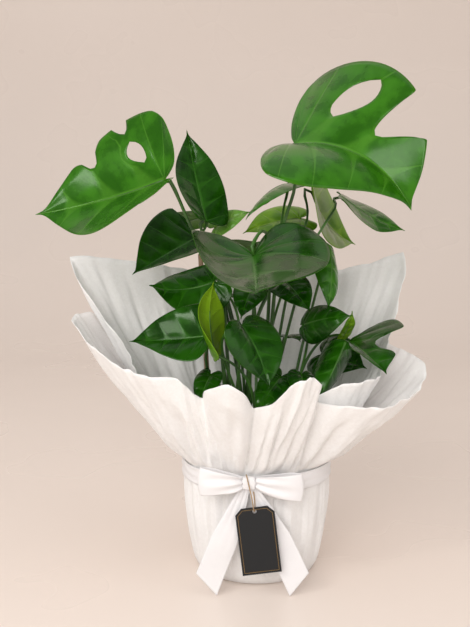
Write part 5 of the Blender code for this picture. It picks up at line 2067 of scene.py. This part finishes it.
# Rim of each sheet, from the left corner past the front: azimuth, radius, height, azimuth at the ribbon
OUTER_RIM: tuple[Station, ...] = (
    (-86, 0.254, 0.348, -86), (-74, 0.228, 0.322, -76), (-60, 0.205, 0.303, -64), (-47, 0.190, 0.296, -52),
    (-38, 0.165, 0.292, -42), (-33, 0.135, 0.262, -30), (-24, 0.165, 0.282, -22), (-12, 0.188, 0.296, -15),
    (-6, 0.175, 0.283, -12), (-3, 0.140, 0.257, -9), (5, 0.165, 0.268, -4), (12, 0.180, 0.292, 2),
    (19, 0.187, 0.304, 12), (26, 0.175, 0.290, 24), (30, 0.148, 0.262, 30), (36, 0.180, 0.262, 35),
    (47, 0.205, 0.258, 45), (62, 0.222, 0.262, 60), (75, 0.232, 0.276, 72), (84, 0.232, 0.292, 82),
    (93, 0.222, 0.298, 92), (105, 0.212, 0.302, 104), (122, 0.208, 0.310, 122), (140, 0.190, 0.300, 140),
    (160, 0.180, 0.312, 160), (180, 0.190, 0.300, 180), (200, 0.180, 0.315, 200), (220, 0.205, 0.310, 220),
    (238, 0.236, 0.330, 238), (252, 0.256, 0.350, 252), (262, 0.262, 0.352, 262),
)
INNER_RIM: tuple[Station, ...] = (
    (-110, 0.294, 0.431, -108), (-100, 0.250, 0.385, -100), (-92, 0.205, 0.340, -92),
    (-85, 0.175, 0.300, -84),
    (-70, 0.165, 0.270, -70), (-50, 0.150, 0.255, -50), (-32, 0.118, 0.235, -30), (-12, 0.150, 0.250, -14),
    (-3, 0.118, 0.232, -9), (10, 0.145, 0.245, 0), (20, 0.155, 0.262, 12), (30, 0.130, 0.262, 30),
    (38, 0.165, 0.284, 37), (50, 0.185, 0.287, 48), (64, 0.180, 0.290, 62), (76, 0.175, 0.305, 74),
    (88, 0.185, 0.330, 86), (98, 0.205, 0.375, 97), (115, 0.245, 0.438, 113), (125, 0.215, 0.420, 125),
    (138, 0.195, 0.408, 138), (155, 0.185, 0.400, 155), (172, 0.190, 0.392, 172), (190, 0.185, 0.398, 190),
    (208, 0.190, 0.405, 208), (225, 0.215, 0.415, 225), (240, 0.260, 0.428, 240),
)


# Studio


@dataclass(frozen=True)
class Studio:
    """The camera, a pale curved backdrop and soft lights."""

    eye: tuple[float, float, float] = (-0.030, -1.20, 0.51)
    pitch: float = 7.2
    lens: float = 50.0
    floor: Colour = (0.80, 0.705, 0.64)
    sky: float = 0.78
    sky_mirrored: float = 0.2

    def camera(self) -> None:
        """Sets the camera."""
        lens = bpy.data.cameras.new("camera")
        lens.lens = self.lens
        lens.sensor_width = 36.0
        holder = bpy.data.objects.new("camera", lens)
        holder.location = self.eye
        holder.rotation_euler = (radians(90 - self.pitch), 0.0, 0.0)
        bpy.context.scene.collection.objects.link(holder)
        bpy.context.scene.camera = holder

    def backdrop(self) -> None:
        """Builds the floor, which curves up behind into a wall."""
        sweep = [Vector((0.0, -4.0, 0.0)), Vector((0.0, 1.6, 0.0))]
        for i in range(1, 13):
            turn = radians(90 * i / 12)
            sweep.append(Vector((0.0, 1.6 + 1.4 * sin(turn), 1.4 * (1 - cos(turn)))))
        sweep.append(Vector((0.0, 3.0, 5.0)))
        last = len(sweep) - 1
        mesh = surface(1, last, lambda u, v: sweep[round(v * last)] + Vector((10 * u - 5, 0, 0)))
        turn_out(mesh, lambda point: Vector((0.0, -1.0, 1.0)))
        for face in mesh.faces:
            face.smooth = True
        data = bpy.data.meshes.new("backdrop")
        mesh.to_mesh(data)
        mesh.free()
        graph, shader, made = shader_of("backdrop", Specular_IOR_Level=0.35)
        place = graph.noise(graph.object_place(), 3.0, 2.0)
        darker = tuple(0.97 * c for c in self.floor)
        graph.feed(shader.inputs["Base Color"], graph.mix(place, self.floor, darker))
        graph.feed(shader.inputs["Roughness"], graph.step(place, 0.3, 0.7, 0.26, 0.32))
        data.materials.append(made)
        stage = bpy.data.objects.new("backdrop", data)
        bpy.context.scene.collection.objects.link(stage)

    def light(
        self, name: str, place: Sequence[float], aim: Sequence[float], size: float, power: float,
        colour: Colour,
    ) -> None:
        """Hangs one square soft light.

        Args:
            name: Its name.
            place: Where it hangs.
            aim: What it points at.
            size: Its side.
            power: Its power in watts.
            colour: Its colour.
        """
        lamp = bpy.data.lights.new(name, "AREA")
        lamp.size = size
        lamp.energy = power
        lamp.color = colour
        holder = bpy.data.objects.new(name, lamp)
        holder.location = place
        holder.rotation_euler = (Vector(aim) - Vector(place)).to_track_quat("-Z", "Y").to_euler()
        bpy.context.scene.collection.objects.link(holder)

    def build(self) -> None:
        """Sets up the camera, the backdrop, the lights and the sky."""
        self.camera()
        self.backdrop()
        middle = (0.0, 0.0, 0.30)
        self.light("key", (-1.7, -1.7, 2.1), middle, 0.8, 18.0, (1.0, 0.985, 0.96))
        self.light("fill", (2.0, -1.4, 1.0), middle, 1.8, 8.0, (1.0, 0.97, 0.95))
        self.light("front", (-0.6, -2.2, 1.25), middle, 1.3, 26.0, (1.0, 0.98, 0.965))
        self.light("top", (0.0, 0.4, 2.6), middle, 2.0, 4.0, (1.0, 0.99, 0.98))
        world = bpy.data.worlds.new("sky")
        world.use_nodes = True
        graph = Graph(world.node_tree)
        sky = world.node_tree.nodes["Background"]
        sky.inputs["Color"].default_value = (1.0, 0.965, 0.94, 1.0)
        mirrored = graph.node("ShaderNodeLightPath").outputs["Is Glossy Ray"]
        graph.feed(sky.inputs["Strength"], graph.step(mirrored, 0.0, 1.0, self.sky, self.sky_mirrored))
        bpy.context.scene.world = world
        bpy.context.scene.view_settings.view_transform = "Standard"


def main() -> None:
    """Builds the plant, its pot, its wrapping and the studio."""
    logging.basicConfig(level=logging.INFO, format="%(name)s: %(message)s")
    Studio().build()
    effects = Effects()
    bow = Bow()
    Tag().build(effects, bow)
    bow.build(SatinFinish().build(effects))
    wrap = WrapFinish().build(effects)
    outer = Sheet("wrap_outer_sheet", "wrap_outer", OUTER_RIM, step=0.0, seed=3.0, valleys=OUTER_VALLEYS)
    outer.build(wrap, ["ribbon_band_satin"])
    inner = Sheet("wrap_inner_sheet", "wrap_inner", INNER_RIM, step=0.0026, seed=8.0)
    inner.build(wrap, ["ribbon_band_satin", "pot"])
    Pot().build(effects)
    Foliage(SHOOTS, LEAVES).build(effects)
    bpy.context.view_layer.update()


if __name__ == "__main__":
    main()
